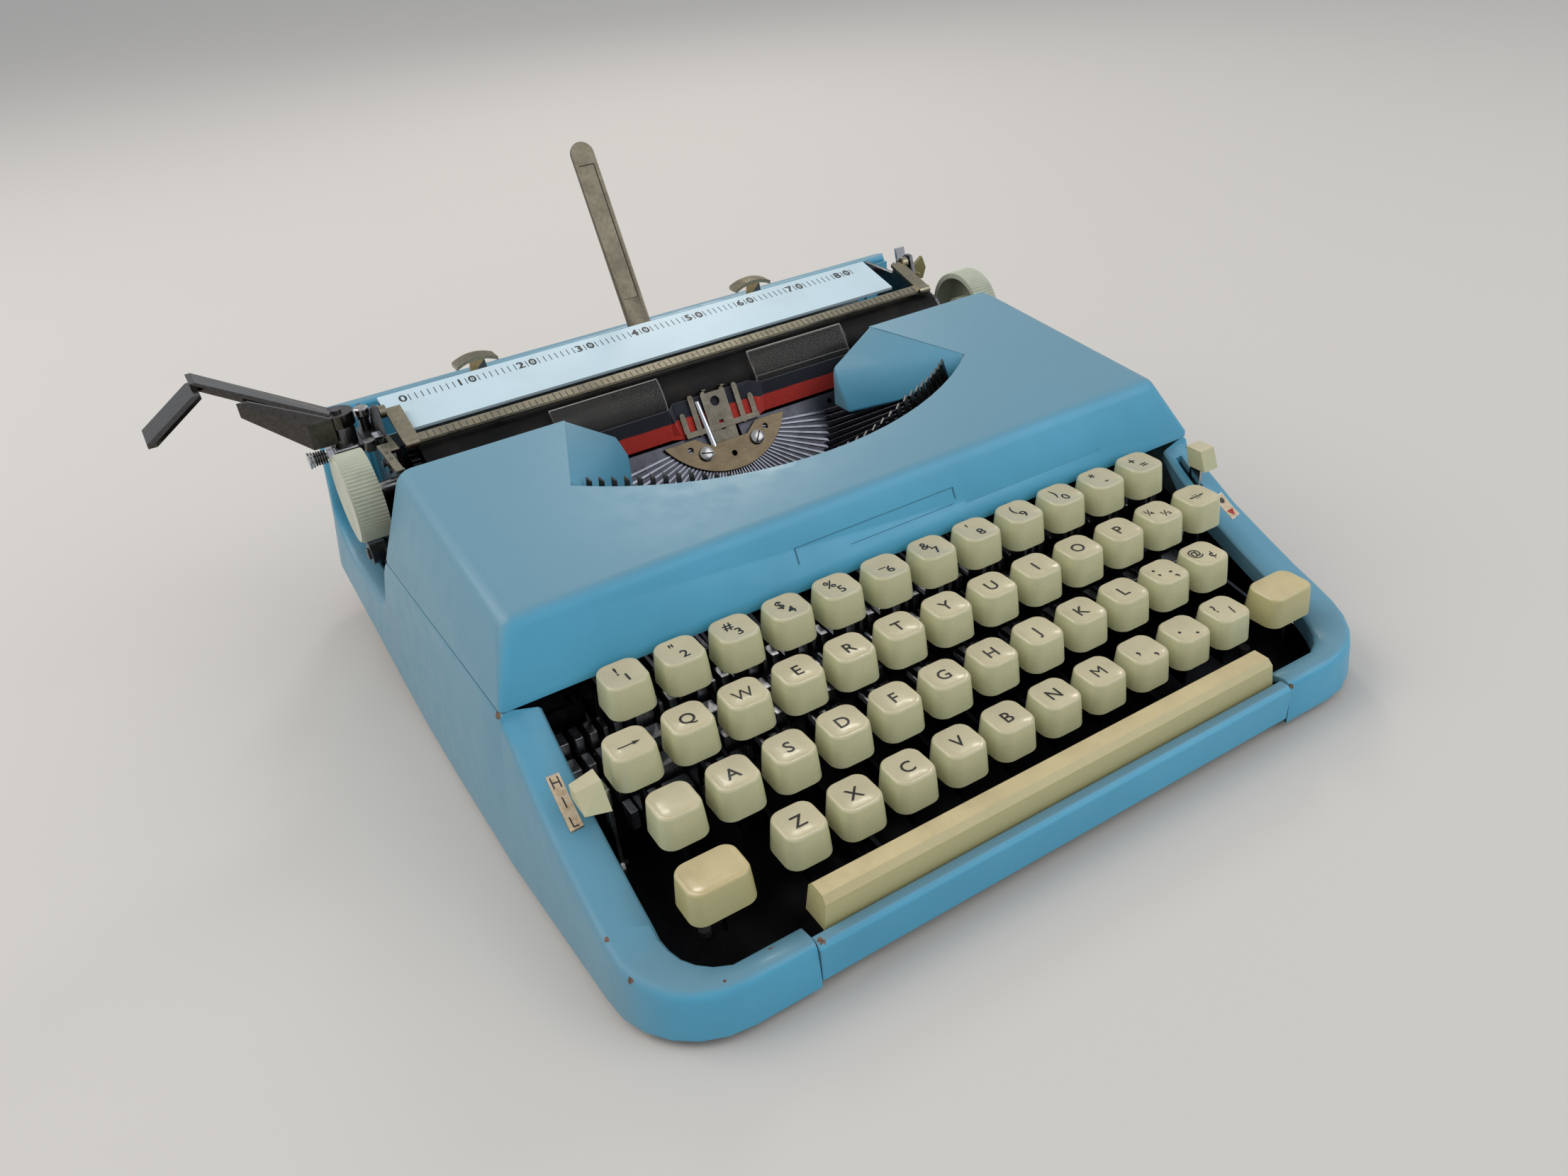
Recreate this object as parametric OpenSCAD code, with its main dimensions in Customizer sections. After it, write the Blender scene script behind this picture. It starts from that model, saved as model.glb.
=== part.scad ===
// Portable manual typewriter with a segment type basket and a sliding carriage.
// X runs to the right, Y to the back and Z up. The model is drawn with x = 0 on the
// middle of the machine, y = 0 on the front panel and z = 0 on the table, and
// in_frame() then moves the origin to the middle of the footprint.

/* [Case] */
// Depth of the case, front panel to rear wall
case_d = 303; // [300:1:306]
// Height of the rear wall
rear_wall_h = 86; // [84:1:88]
// Height of the seam under the ribbon cover
seam_h = 60; // [59:0.5:61]
// Thickness of the case wall
case_t = 2; // [1.2:0.1:2.4]
// Half width of the case foot at the front
foot_half_front = 144.8; // [144:0.2:147]
// Half width of the case foot at the rear
foot_half_rear = 150.5; // [149:0.2:153]
// Half width of the opening round the keys
well_half = 128; // [127.8:0.1:130]
// Plan radius of the front corners
front_corner_r = 30; // [26:1:34]
// Height of the front panel's top edge
front_panel_h = 18.6; // [17:0.2:20]

/* [Ribbon cover] */
// Where the cover starts, from the front panel
cover_y = 94.8; // [94:0.2:96]
// Where the cover ends
cover_end = 204; // [200:1:205]
// Height of the cover's front ridge
ridge_h = 83.5; // [80:0.5:86]
// Height of the cover's rear edge
cover_h = 92.2; // [90:0.2:94]
// Thickness of the cover
cover_t = 2; // [1.2:0.1:2.4]
// Radius of the type opening
opening_r = 133; // [128:1:140]
// Where the type opening starts
opening_y = 131; // [129:1:135]

/* [Keys] */
// Distance from key to key along a row
key_pitch = 19.05; // [18.6:0.05:19.2]
// Distance from row to row
row_pitch = 18.8; // [18.4:0.1:19.4]
// Step up from row to row
row_rise = 9.6; // [9:0.1:10.2]
// Top of the front row's keys
front_row_h = 35.4; // [35:0.1:37]
// Middle of the front row's keys
front_row_y = 29.2; // [28.6:0.1:30]
// Foot width of a key cap
cap_w = 15.5; // [14.5:0.1:15.9]
// Top width of a key cap
cap_top_w = 12.6; // [11:0.1:13.4]
// Height of a key cap
cap_h = 11; // [10:0.1:11.4]
// How far a key goes down
key_travel = 8; // [6:0.5:8.5]
// Thickness of a key lever
lever_t = 1.3; // [1:0.1:1.6]
// Height of a key lever
lever_h = 6; // [5:0.1:6.5]
// Pivot of the key levers, from the front panel
pivot_y = 150; // [146:1:154]
// Height of the key levers' pivot
pivot_z = 42; // [41:0.5:44]
// Half length of the space bar
bar_half = 89.5; // [85:0.5:91]

/* [Type basket] */
// Number of type bars
bars = 44; // [40:1:46]
// Tilt of the segment
basket_tilt = 51; // [48:1:54]
// Radius of the type bars' pivots
bar_pivot_r = 44; // [42:0.5:46]
// Outer radius of the segment
segment_r = 50; // [48:0.5:52]

/* [Carriage] */
// Radius of the platen
platen_r = 15; // [14:0.1:15.4]
// Platen axis, from the front panel
platen_y = 235; // [234.5:0.1:236]
// Height of the platen axis
platen_z = 73; // [72.6:0.1:74]
// Length of the platen
platen_len = 237; // [225:1:240]
// Radius of a platen knob
knob_r = 17; // [16:0.1:17.2]
// Left end of the carriage with its knob
knob_left = 147; // [146:0.5:150]
// Right end of the carriage with its knob
knob_right = 150; // [149:0.5:153]
// Reach of the return lever to the left
lever_reach = 202; // [198:1:206]
// Height of the paper support arm's top
arm_top = 162; // [150:1:170]

/* [Hidden] */
$fn = 48;

CASE = "#4f9fc4";
IVORY = "#d9d8b8";
STEEL = "#8d9096";
DARK = "#2a2c30";
BRASS = "#8a7a5c";
RUBBER = "#1c1a1a";

// Running clearance of a shaft in its hole, and the gap between faces that slide.
run_clear = 0.05;
slide_gap = 0.4;
seat_gap = 0.3;

// The paper support arm leans back from its hinge behind the paper table.
arm_t = 1.6;
arm_lean = 27.5;
arm_foot_y = 271.6;
arm_foot_z = 80;
function paper_arm_y(z) = arm_foot_y + arm_t / 2 * (1 - cos(arm_lean)) + (z - arm_foot_z) * tan(arm_lean);

// The driving reaches of the footprint.
rear_reach = paper_arm_y(arm_top) + arm_t * cos(arm_lean);
side_reach = max(knob_right, foot_half(288));
frame_x = (lever_reach - side_reach) / 2;
frame_y = -rear_reach / 2;

module in_frame() {
    translate([frame_x, frame_y, 0]) children();
}

// A profile in the YZ plane, extruded from x0 to x1.
module along_x(x0, x1) {
    translate([x0, 0, 0]) rotate([90, 0, 90]) linear_extrude(x1 - x0) children();
}

module rod_x(x0, x1, y, z, r) {
    translate([x0, y, z]) rotate([0, 90, 0]) cylinder(h = x1 - x0, r = r);
}

module both_sides() {
    children();
    mirror([1, 0, 0]) children();
}

// Case walls. The foot and the shoulder of the side walls are curves over y.
foot_z = 5;
function foot_half(y) = lookup(y, [[30, foot_half_front], [95, foot_half_front + 3.7],
    [150, foot_half_rear - 1], [case_d, foot_half_rear]]);
function shoulder_half(y) = lookup(y, [[30, 138.6], [95, 140.4], [205, 143.8], [case_d, 145.6]]);
function wall_x(y, z) = foot_half(y)
    + (shoulder_half(y) - foot_half(y)) * max(0, z - foot_z) / (seam_h - foot_z);
// Height of the wall's top along the side, with the channel beside the carriage.
channel_h = 32;
function rim_z(y) = lookup(y, [[0, 19.4], [10, 20], [25, 22.6], [40, 28], [55, 34.6], [70, 41.6],
    [cover_y, 57.6], [cover_y + 0.4, seam_h - 0.3], [206, seam_h - 0.3], [208, 58], [211, 54], [218, 38],
    [223, channel_h + 1], [228, channel_h], [268, channel_h], [276, 35], [284, 41], [290, 50],
    [295, 64], [299, 80], [301, rear_wall_h], [case_d, rear_wall_h]]);
function foot_line(y) = lookup(y, [[0, 3], [180, 3], [213, 7], [243, 12], [277, 17], [case_d, 21]]);
rear_corner_r = 15;
rear_lip_w = 12;

// A station of the wall sweep: outer point at the foot, the way in, y, rim width, edge radius.
side_ys = [34, 40, 48, 55, 62, 70, 78, 86, cover_y, cover_y + 0.4, 120, 150, 180, 206, 208, 211, 214.5,
    218, 223, 228, 245, 268, 272, 276, 280, 284, 288];
function rim_w(y) = y <= cover_y ? wall_x(y, rim_z(y)) - well_half
    : y < 206 ? 5 : y < 288 ? 9 : rear_lip_w;
function draft(y, z) = foot_half(y) - wall_x(y, z);
front_w = 93.6;
front_cx = foot_half_front - front_corner_r;
function stations() = concat(
    [for (x = [front_w, 104]) [[x, 0], [0, 1], 0]],
    [for (a = [0:15:90]) [[front_cx + front_corner_r * sin(a), front_corner_r * (1 - cos(a))],
        [-sin(a), cos(a)], front_corner_r * (1 - cos(a))]],
    [for (y = side_ys) [[foot_half(y), y], [-1, 0], y]],
    [for (a = [15:15:90]) [[foot_half(case_d) - rear_corner_r * (1 - cos(a)),
        case_d - rear_corner_r * (1 - sin(a))], [-cos(a), -sin(a)],
        case_d - rear_corner_r * (1 - sin(a))]],
    [for (x = [100, 40]) [[x, case_d], [0, -1], case_d]]);
function flip(s) = [[-s[0][0], s[0][1]], [-s[1][0], s[1][1]], s[2]];
function at_rear(s) = s[1][1] < -0.1;
function at_front(s) = s[1][1] > 0.1;

edge_r = 3;
edge_steps = 3;
// The cross section of the wall at a station, as distances in from the foot and heights.
function wall_section(s) =
    let (y = s[2], zt = rim_z(y), zb = foot_line(y), r = edge_r,
        lean = at_rear(s) ? 3.2 * abs(s[1][0]) + 1.2 : 1,
        d = at_rear(s) ? 4.6 : draft(max(30, y), zt - r) * (at_front(s) ? 0.6 + 0.4 * abs(s[1][0]) : 1),
        w = at_rear(s) ? rear_lip_w : at_front(s) ? 10 + 6.6 * abs(s[1][0]) : rim_w(y) + draft(y, zt),
        drop = y < cover_y ? 1.2 : 0.2, lip = y < cover_y ? 7 : 3)
    concat([[0, zb], [0, max(zb + 0.5, foot_z + 1)]],
        [for (i = [0:edge_steps]) let (a = 90 * i / edge_steps)
            [d + r * (1 - cos(a)), zt - r + r * sin(a)]],
        [[w - 1, zt - drop], [w, zt - drop - 1], [w, zt - drop - lip], [w - case_t, zt - drop - lip],
            [w - case_t, zt - drop - case_t - 0.6], [d + case_t + r, zt - case_t - 0.4],
            [d + case_t, zt - r - case_t], [case_t, max(zb + 1, foot_z + 1)], [case_t, zb]]);

function ring(s) = [for (p = wall_section(s))
    [s[0][0] + s[1][0] * p[0], s[0][1] + s[1][1] * p[0], p[1]]];

module sweep(rings) {
    n = len(rings[0]);
    m = len(rings);
    polyhedron(
        points = [for (r = rings) for (p = r) p],
        faces = concat(
            [[for (j = [0:n - 1]) j]],
            [for (i = [0:m - 2]) for (j = [0:n - 1]) each [
                [i * n + j, (i + 1) * n + j, (i + 1) * n + (j + 1) % n],
                [i * n + j, (i + 1) * n + (j + 1) % n, i * n + (j + 1) % n]]],
            [[for (j = [n - 1:-1:0]) (m - 1) * n + j]]),
        convexity = 10);
}

// The colour selector's slot in the right rim.
colour_y = 82;
colour_x = 132.4;
colour_pivot_z = 24;
selector_t = 1.2;

module lower_shell() {
    half = stations();
    rings = concat([for (s = half) ring(s)], [for (i = [len(half) - 1:-1:0]) ring(flip(half[i]))]);
    color(CASE) difference() {
        sweep(rings);
        translate([colour_x - 1.5, colour_y - 11, 30]) cube([selector_t + 1.8, 20, 40]);
    }
}

module front_panel() {
    half = front_w - seat_gap;
    color(CASE) along_x(-half, half)
        polygon([[0, foot_z], [0, front_panel_h - 1.5], [1.5, front_panel_h], [4.8, front_panel_h],
            [4.8, front_panel_h - case_t], [case_t, front_panel_h - case_t - 1], [case_t, foot_z]]);
}

// Ribbon cover: a shell with a rounded front ridge and an arched opening over the type basket.
cover_foot_half = 140.3;
cover_foot_rear = 143.7;
cover_top_half = 133.4;
cover_r = 7;
guard_top = 66;
guard_in = 33;
guard_y = 170;

function top_z(y) = ridge_h + (cover_h - ridge_h) * (y - 102.2) / (cover_end - 102.2);

// The cover's body, grown inwards by t.
module cover_body(t) {
    r = cover_r - t;
    hull() {
        for (s = [-1, 1]) {
            translate([s * (cover_foot_half - t - 2), cover_y + t + 2, seam_h - (t > 0 ? 6 : 0)])
                cylinder(h = 2, r = 2, $fn = 16);
            translate([s * (cover_foot_rear - t - 2), cover_end + (t > 0 ? 3 : -2), seam_h - (t > 0 ? 6 : 0)])
                cylinder(h = 2, r = 2, $fn = 16);
            translate([s * (cover_top_half - cover_r), 102.2 + cover_r, ridge_h - cover_r])
                sphere(r = r, $fn = 32);
            translate([s * (cover_top_half - cover_r), cover_end + (t > 0 ? 8 : -0.01), cover_h - cover_r])
                rotate([90, 0, 0]) cylinder(h = 4, r = r, $fn = 32);
        }
    }
}

// Plan of the opening: an arc at the front and the guards' edges at the rear.
module opening_plan(grow) {
    half = 84;
    arc_c = opening_y + opening_r;
    polygon(concat(
        [for (a = [-39.4:3.94:39.4]) [(opening_r + grow) * sin(a), arc_c - (opening_r + grow) * cos(a)]],
        [[half - 2, 162], [guard_in, guard_y], [guard_in + 5, 184], [guard_top, cover_end + 20],
            [-guard_top, cover_end + 20], [-guard_in - 5, 184], [-guard_in, guard_y], [-half + 2, 162]]));
}

// A guard: the panel that hangs down beside the opening, between the ribbon and the type bars.
module guard() {
    depth = 15;
    seat = cover_t / 2;
    color(CASE) hull() {
        translate([guard_in, guard_y, top_z(guard_y) - depth]) cube([0.5, case_t, depth - seat]);
        translate([guard_in + 20, guard_y - 3.4, top_z(guard_y) - depth - 1.6]) cube([0.5, case_t, depth + 1.6 - seat]);
        translate([81, 161.5, top_z(161.5) - 7]) cube([0.5, case_t, 7 - seat]);
    }
    color(CASE) hull() {
        translate([guard_in, guard_y, top_z(guard_y) - depth]) cube([case_t, 0.5, depth - seat]);
        translate([guard_in + 5, 184, top_z(184) - depth]) cube([case_t, 0.5, depth - seat]);
        translate([guard_top, cover_end - 1, top_z(cover_end) - depth]) cube([case_t, 0.5, depth - seat]);
    }
}

module ribbon_cover() {
    color(CASE) difference() {
        cover_body(0);
        cover_body(cover_t);
        translate([0, 0, seam_h]) linear_extrude(60) opening_plan(0);
        badge_recess();
    }
    both_sides() guard();
}

// The bare, shallow place on the front face where a plate would sit.
module badge_recess() {
    translate([0, 98.5, 72]) rotate([73, 0, 0]) translate([34, -5, -0.4]) cube([62, 9, 5]);
}

// Base plate: a bent steel sheet that closes the case from below.
plate_t = 1.2;
plate_z = 3.6;
plate_half = foot_half_front - case_t - 3;
module base_plate() {
    rear = case_d - case_t - 4;
    corner = front_corner_r - 2;
    color(STEEL) difference() {
        intersection() {
            along_x(-plate_half, plate_half)
                polygon([[4, plate_z], [182, plate_z], [213, foot_line(213) + 0.6], [rear, foot_line(rear) + 0.6],
                    [rear, foot_line(rear) + 0.6 + plate_t], [213, foot_line(213) + 0.6 + plate_t],
                    [182, plate_z + plate_t], [4, plate_z + plate_t]]);
            linear_extrude(40) union() {
                translate([-plate_half, 4 + corner]) square([2 * plate_half, rear - 20 - corner]);
                translate([-plate_half + corner, 4]) square([2 * (plate_half - corner), 60]);
                translate([-plate_half + 16, 60]) square([2 * (plate_half - 16), rear - 60]);
                for (s = [-1, 1]) {
                    translate([s * (plate_half - corner), 4 + corner]) circle(r = corner);
                    translate([s * (plate_half - 16), rear - 16]) circle(r = 16);
                }
            }
        }
        for (s = [-1, 1], y = [foot_front_y, foot_rear_y])
            translate([s * foot_x, y, 0]) cylinder(h = 40, r = 2 + run_clear);
    }
}

// Feet: turned rubber buttons under the plate, the rear pair as tall as the plate is high there.
foot_r = 9;
foot_x = 112;
foot_front_y = 34;
foot_rear_y = 250;
module foot(y, top) {
    translate([foot_x, y, 0]) difference() {
        union() {
            cylinder(h = top, r1 = foot_r - 1, r2 = foot_r);
            translate([0, 0, top]) cylinder(h = plate_t + 2.3, r = 2);
        }
        translate([0, 0, -1]) cylinder(h = 2.2, r = 3);
    }
}

module rubber_feet() {
    color(RUBBER) both_sides() {
        foot(foot_front_y, plate_z - 0.02);
        foot(foot_rear_y, foot_line(foot_rear_y) + 0.6 - 1.8);
    }
}

// Key rows, counted from the number row down to the front row.
row_first = [-104.5, -112.9, -109.4, -80.5];
function row_y(i) = front_row_y + row_pitch * (3 - i);
function row_z(i) = front_row_h + row_rise * (3 - i);
function key_x(i, k) = row_first[i] + key_pitch * k;

// Height of a lever's middle line where its stem stands. Each row's levers run straight
// to the pivot and pass under the keys behind them, also when those are down.
stem_z = [40.2, 33, 27, 17.2];
function lever_z(i, y) = pivot_z - (pivot_z - stem_z[i]) * (pivot_y - y) / (pivot_y - row_y(i));

rod_r = 1.5;
eye_r = 4.2;

// A lever of row i from under its key to the pivot rod, a straight steel bar with an upright stem.
module lever(i, x, y, top) {
    h = lever_h / 2;
    color(STEEL) along_x(x - lever_t / 2, x + lever_t / 2) difference() {
        union() {
            polygon([[y - 3, lever_z(i, y - 3) - h], [pivot_y, pivot_z - h], [pivot_y, pivot_z + h],
                [y - 3, lever_z(i, y - 3) + h]]);
            translate([y - 3, lever_z(i, y - 3)]) square([6, top - lever_z(i, y - 3)]);
            translate([pivot_y, pivot_z]) circle(r = eye_r);
        }
        translate([pivot_y, pivot_z]) circle(r = rod_r + run_clear);
    }
}

// Plan of a cap: a square with soft corners.
module soft_square(w, d, r) {
    translate([-w / 2 + r, -d / 2]) square([w - 2 * r, d]);
    translate([-w / 2, -d / 2 + r]) square([w, d - 2 * r]);
    for (sx = [-1, 1], sy = [-1, 1])
        translate([sx * (w / 2 - r), sy * (d / 2 - r)]) circle(r = r);
}

// A key cap with four drafted walls and a dished top, its top face at the origin.
dish_r = 34;
dish_depth = 0.9;
module cap(w, d) {
    taper = (cap_w - cap_top_w) / 2;
    color(IVORY) difference() {
        intersection() {
            translate([0, 0, -cap_h]) linear_extrude(cap_h) soft_square(w, d, 4);
            rotate([90, 0, 0]) translate([0, 0, -d]) linear_extrude(2 * d)
                polygon([[-w / 2, -cap_h], [w / 2, -cap_h], [w / 2 - taper * 0.5, -cap_h / 3],
                    [w / 2 - taper, 0], [-w / 2 + taper, 0], [-w / 2 + taper * 0.5, -cap_h / 3]]);
            rotate([90, 0, 90]) translate([0, 0, -w]) linear_extrude(2 * w)
                polygon([[-d / 2, -cap_h], [d / 2, -cap_h], [d / 2 - taper * 0.5, -cap_h / 3],
                    [d / 2 - taper, 0], [-d / 2 + taper, 0], [-d / 2 + taper * 0.5, -cap_h / 3]]);
        }
        translate([0, d, dish_r - dish_depth]) rotate([90, 0, 0]) cylinder(h = 2 * d, r = dish_r, $fn = 96);
    }
}

// One key: its cap and its lever, in row i at place k.
module key(i, k) {
    translate([key_x(i, k), row_y(i), row_z(i)]) cap(cap_w, cap_w);
    lever(i, key_x(i, k), row_y(i), row_z(i) - cap_h + 1);
}

LETTERS = [["q", 1, 1], ["w", 1, 2], ["e", 1, 3], ["r", 1, 4], ["t", 1, 5], ["y", 1, 6], ["u", 1, 7],
    ["i", 1, 8], ["o", 1, 9], ["p", 1, 10], ["a", 2, 1], ["s", 2, 2], ["d", 2, 3], ["f", 2, 4],
    ["g", 2, 5], ["h", 2, 6], ["j", 2, 7], ["k", 2, 8], ["l", 2, 9], ["z", 3, 0], ["x", 3, 1],
    ["c", 3, 2], ["v", 3, 3], ["b", 3, 4], ["n", 3, 5], ["m", 3, 6]];

// Number row and the signs at the right of the other rows.
module figure_keys() {
    for (k = [0:11]) key(0, k);
    key(1, 11);
    for (k = [10, 11]) key(2, k);
    for (k = [7, 8, 9]) key(3, k);
}

module backspace_key() key(1, 0);
module margin_release_key() key(1, 12);

// Both shift keys and the shift lock ride on one frame that turns on the key rod.
shift_w = 21;
shift_left_x = -109.6;
shift_right_x = 116.6;
shift_right_lane = 118.6;
bail_y = 134;
bail_z = 30.6;
bail_r = 2;
module shift_keys() {
    translate([shift_left_x, row_y(3) - 2, row_z(3)]) cap(shift_w, cap_w);
    translate([shift_right_x, row_y(3) - 2, row_z(3)]) cap(shift_w, cap_w);
    translate([key_x(2, 0), row_y(2), row_z(2)]) cap(cap_w, cap_w);
    lever(3, key_x(2, 0), row_y(3) - 2, row_z(3) - cap_h + 1);
    color(STEEL) along_x(key_x(2, 0) - lever_t / 2, key_x(2, 0) + lever_t / 2)
        translate([row_y(2) - 3, lever_z(3, row_y(2))]) square([6, row_z(2) - cap_h + 1 - lever_z(3, row_y(2))]);
    lever(3, shift_right_lane, row_y(3) - 2, row_z(3) - cap_h + 1);
    color(STEEL) rod_x(key_x(2, 0), shift_right_lane, bail_y, bail_z, bail_r);
    color(STEEL) for (x = [key_x(2, 0), shift_right_lane])
        along_x(x - lever_t / 2, x + lever_t / 2)
            translate([bail_y - 3, bail_z - 3]) square([6, lever_z(3, bail_y) - bail_z + 3]);
}

// Space bar: a drafted bar on two low arms.
bar_pivot_y = 118;
bar_arm_z = 12.4;
bar_arm_h = 4.4;
bar_arm_x = [-56.5, 58.9];
bar_mid = 1.2;
bar_top = 27.6;
module space_bar() {
    color(IVORY) intersection() {
        along_x(bar_mid - bar_half, bar_mid + bar_half)
            polygon([[5.6, 16.6], [6.2, 25.6], [8, bar_top], [13.6, bar_top], [15, 26], [15.6, 16.6]]);
        translate([bar_mid, 40, 0]) rotate([90, 0, 0]) linear_extrude(80)
            polygon([[-bar_half, 16], [bar_half, 16], [bar_half - 1.6, bar_top + 1], [1.6 - bar_half, bar_top + 1]]);
    }
    color(STEEL) for (x = bar_arm_x) along_x(x - 0.8, x + 0.8) difference() {
        union() {
            translate([9, bar_arm_z - bar_arm_h / 2]) square([bar_pivot_y - 9, bar_arm_h]);
            translate([9, bar_arm_z - bar_arm_h / 2]) square([4, 7]);
            translate([bar_pivot_y, bar_arm_z]) circle(r = 3.4);
        }
        translate([bar_pivot_y, bar_arm_z]) circle(r = rod_r + run_clear);
    }
}

// Rods that carry the key levers and the space bar's arms, end to end between the side plates.
side_x = 129.6;
side_t = 1.6;
module pivot_rods() {
    color(STEEL) {
        rod_x(-side_x - side_t, side_x + side_t, pivot_y, pivot_z, rod_r);
        rod_x(-side_x - side_t, side_x + side_t, bar_pivot_y, bar_arm_z, rod_r);
    }
}

// Chassis: side plates, cross bars, the slotted key comb and the carriage rails.
rail_y = 263;
rail_h = 57;
rail_w = 7;
front_rail_y = 224;
front_rail_w = 3.4;
comb_y = 100;
comb_t = 1.6;
touch_x = -124.8;
touch_y = 62;
touch_pivot_z = 16;
module side_plate() {
    floor_z = plate_z + plate_t;
    union() {
        along_x(side_x, side_x + side_t) difference() {
            polygon([[30, floor_z + 0.02], [182, floor_z + 0.02], [213, foot_line(213) + 0.62 + plate_t],
                [286, foot_line(286) + 0.62 + plate_t], [286, 40], [rail_y + rail_w, 40],
                [rail_y + rail_w, rail_h], [rail_y, rail_h], [rail_y, 44],
                [front_rail_y + front_rail_w, 44], [front_rail_y + front_rail_w, rail_h - 1],
                [front_rail_y, rail_h - 1], [front_rail_y, 52], [198, 54], [120, 50], [90, 38], [40, 18], [30, 15]]);
            translate([pivot_y, pivot_z]) circle(r = rod_r + run_clear);
            translate([bar_pivot_y, bar_arm_z]) circle(r = rod_r + run_clear);
        }
    }
}

module key_comb() {
    gap = lever_t + 0.8;
    z1 = pivot_z + 7;
    slot_z = lever_z(3, comb_y) - lever_h / 2 - key_travel * 0.42 - 0.6;
    difference() {
        translate([-side_x, comb_y, slot_z - 8]) cube([2 * side_x, comb_t, z1 - slot_z + 8]);
        for (i = [0:3], k = [0:12])
            if (k < [12, 13, 12, 10][i])
                translate([key_x(i, k) - gap / 2, comb_y - 1, slot_z]) cube([gap, comb_t + 2, z1]);
        translate([shift_right_lane - gap / 2, comb_y - 1, slot_z]) cube([gap, comb_t + 2, z1]);
    }
}

module chassis() {
    floor_z = plate_z + plate_t;
    color(DARK) {
        both_sides() side_plate();
        key_comb();
        for (b = [[170, floor_z, 10, 4], [282, 30, 3, 12]])
            translate([-side_x, b[0], b[1]]) cube([2 * side_x, b[2], b[3]]);
        for (x = [-1, 1]) translate([x * 92 - 4, 176, floor_z]) cube([8, 3, 42]);
    }
    color(STEEL) {
        translate([-side_x, rail_y, rail_h - 6]) cube([2 * side_x, rail_w, 6]);
        translate([-side_x, front_rail_y, rail_h - 5]) cube([2 * side_x, front_rail_w, 4]);
        rod_x(-side_x, touch_x + 3, touch_y, touch_pivot_z, rod_r);
        rod_x(side_x, colour_x + 1, colour_y, colour_pivot_z, rod_r);
        both_sides() translate([57.4, 217.6, 52]) cube([7, front_rail_y - 217, 3]);
    }
}

// Segment: the slotted half disc that guides the type bars, in the tilted plane of the basket.
basket_y = 211;
basket_z = 64;
fan = 83;
module on_basket() {
    translate([0, basket_y, basket_z]) rotate([basket_tilt, 0, 0]) children();
}

function bar_angle(i) = -fan + 2 * fan * i / (bars - 1);
slot_w = 1.5;
module segment() {
    color(STEEL) on_basket() difference() {
        union() {
            intersection() {
                translate([0, 0, -12]) cylinder(h = 11, r = segment_r, $fn = 96);
                translate([-60, -60, -13]) cube([120, 61, 20]);
            }
            translate([-55, -5.4, -12]) cube([110, 6.8, 11]);
        }
        for (i = [0:bars - 1]) rotate([0, 0, bar_angle(i) - 90])
            translate([segment_r - 12, -slot_w / 2, -8]) cube([20, slot_w, 9]);
        translate([-7, -18, -13]) cube([14, 30, 14]);
        for (s = [-1, 1]) translate([s * 11.9, -7.2, -6]) cylinder(h = 7, r = 1.2);
        for (s = [-1, 1]) translate([s * 51, -2, -13]) cylinder(h = 14, r = 1.1);
    }
}

// Type bars at rest, fanned from the segment to the curved row of type heads.
head_arc_r = 121;
head_z = 75;
head_fan = 44;
function pivot_at(a) = [bar_pivot_r * sin(a),
    basket_y - bar_pivot_r * cos(a) * cos(basket_tilt) + 4.5 * sin(basket_tilt),
    basket_z - bar_pivot_r * cos(a) * sin(basket_tilt) - 4.5 * cos(basket_tilt)];
function head_at(a) = let (h = a * head_fan / fan, r = head_arc_r + 7 * min(1, abs(h) / 22))
    [r * sin(h), opening_y + opening_r - r * cos(h), head_z];
module typebar(a) {
    p = pivot_at(a);
    d = head_at(a) - p;
    flat = norm([d[0], d[1]]);
    translate(p) rotate([0, 0, atan2(d[1], d[0])]) rotate([0, -atan2(d[2], flat), 0]) {
        translate([-1, -0.5, -1.5]) cube([norm(d) - 1, 1, 3]);
        translate([norm(d) - 4, -1.3, -3]) cube([3.4, 2.6, 6.5]);
    }
}

module typebars() {
    color(STEEL) for (i = [0:bars - 1]) typebar(bar_angle(i));
}

// Type guide: the half-moon plate on the segment, with its screws.
moon_r = 28;
moon_t = 1.4;
module type_guide() {
    color(BRASS) on_basket() translate([0, 0, -1 + slide_gap / 4]) difference() {
        intersection() {
            cylinder(h = moon_t, r = moon_r, $fn = 96);
            linear_extrude(moon_t) polygon([[-30, 0], [-14, 0], [-6.6, -11], [6.6, -11], [14, 0], [30, 0],
                [30, -30], [-30, -30]]);
        }
        for (s = [-1, 1]) translate([s * 17.5, -3.8, -1]) cylinder(h = 4, r = 1.3);
        translate([0, -14.5, -1]) cylinder(h = 4, r = 1.3);
        for (s = [-1, 1]) translate([s * 11.9, -7.2, -1]) cylinder(h = 4, r = 1.1);
    }
    color(STEEL) on_basket() for (s = [-1, 1]) translate([s * 11.9, -7.2, moon_t - 1 + slide_gap / 4])
        union() {
            cylinder(h = 1.2, r = 2.5);
            translate([0, 0, -6]) cylinder(h = 6, r = 1.05);
        }
}

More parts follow.
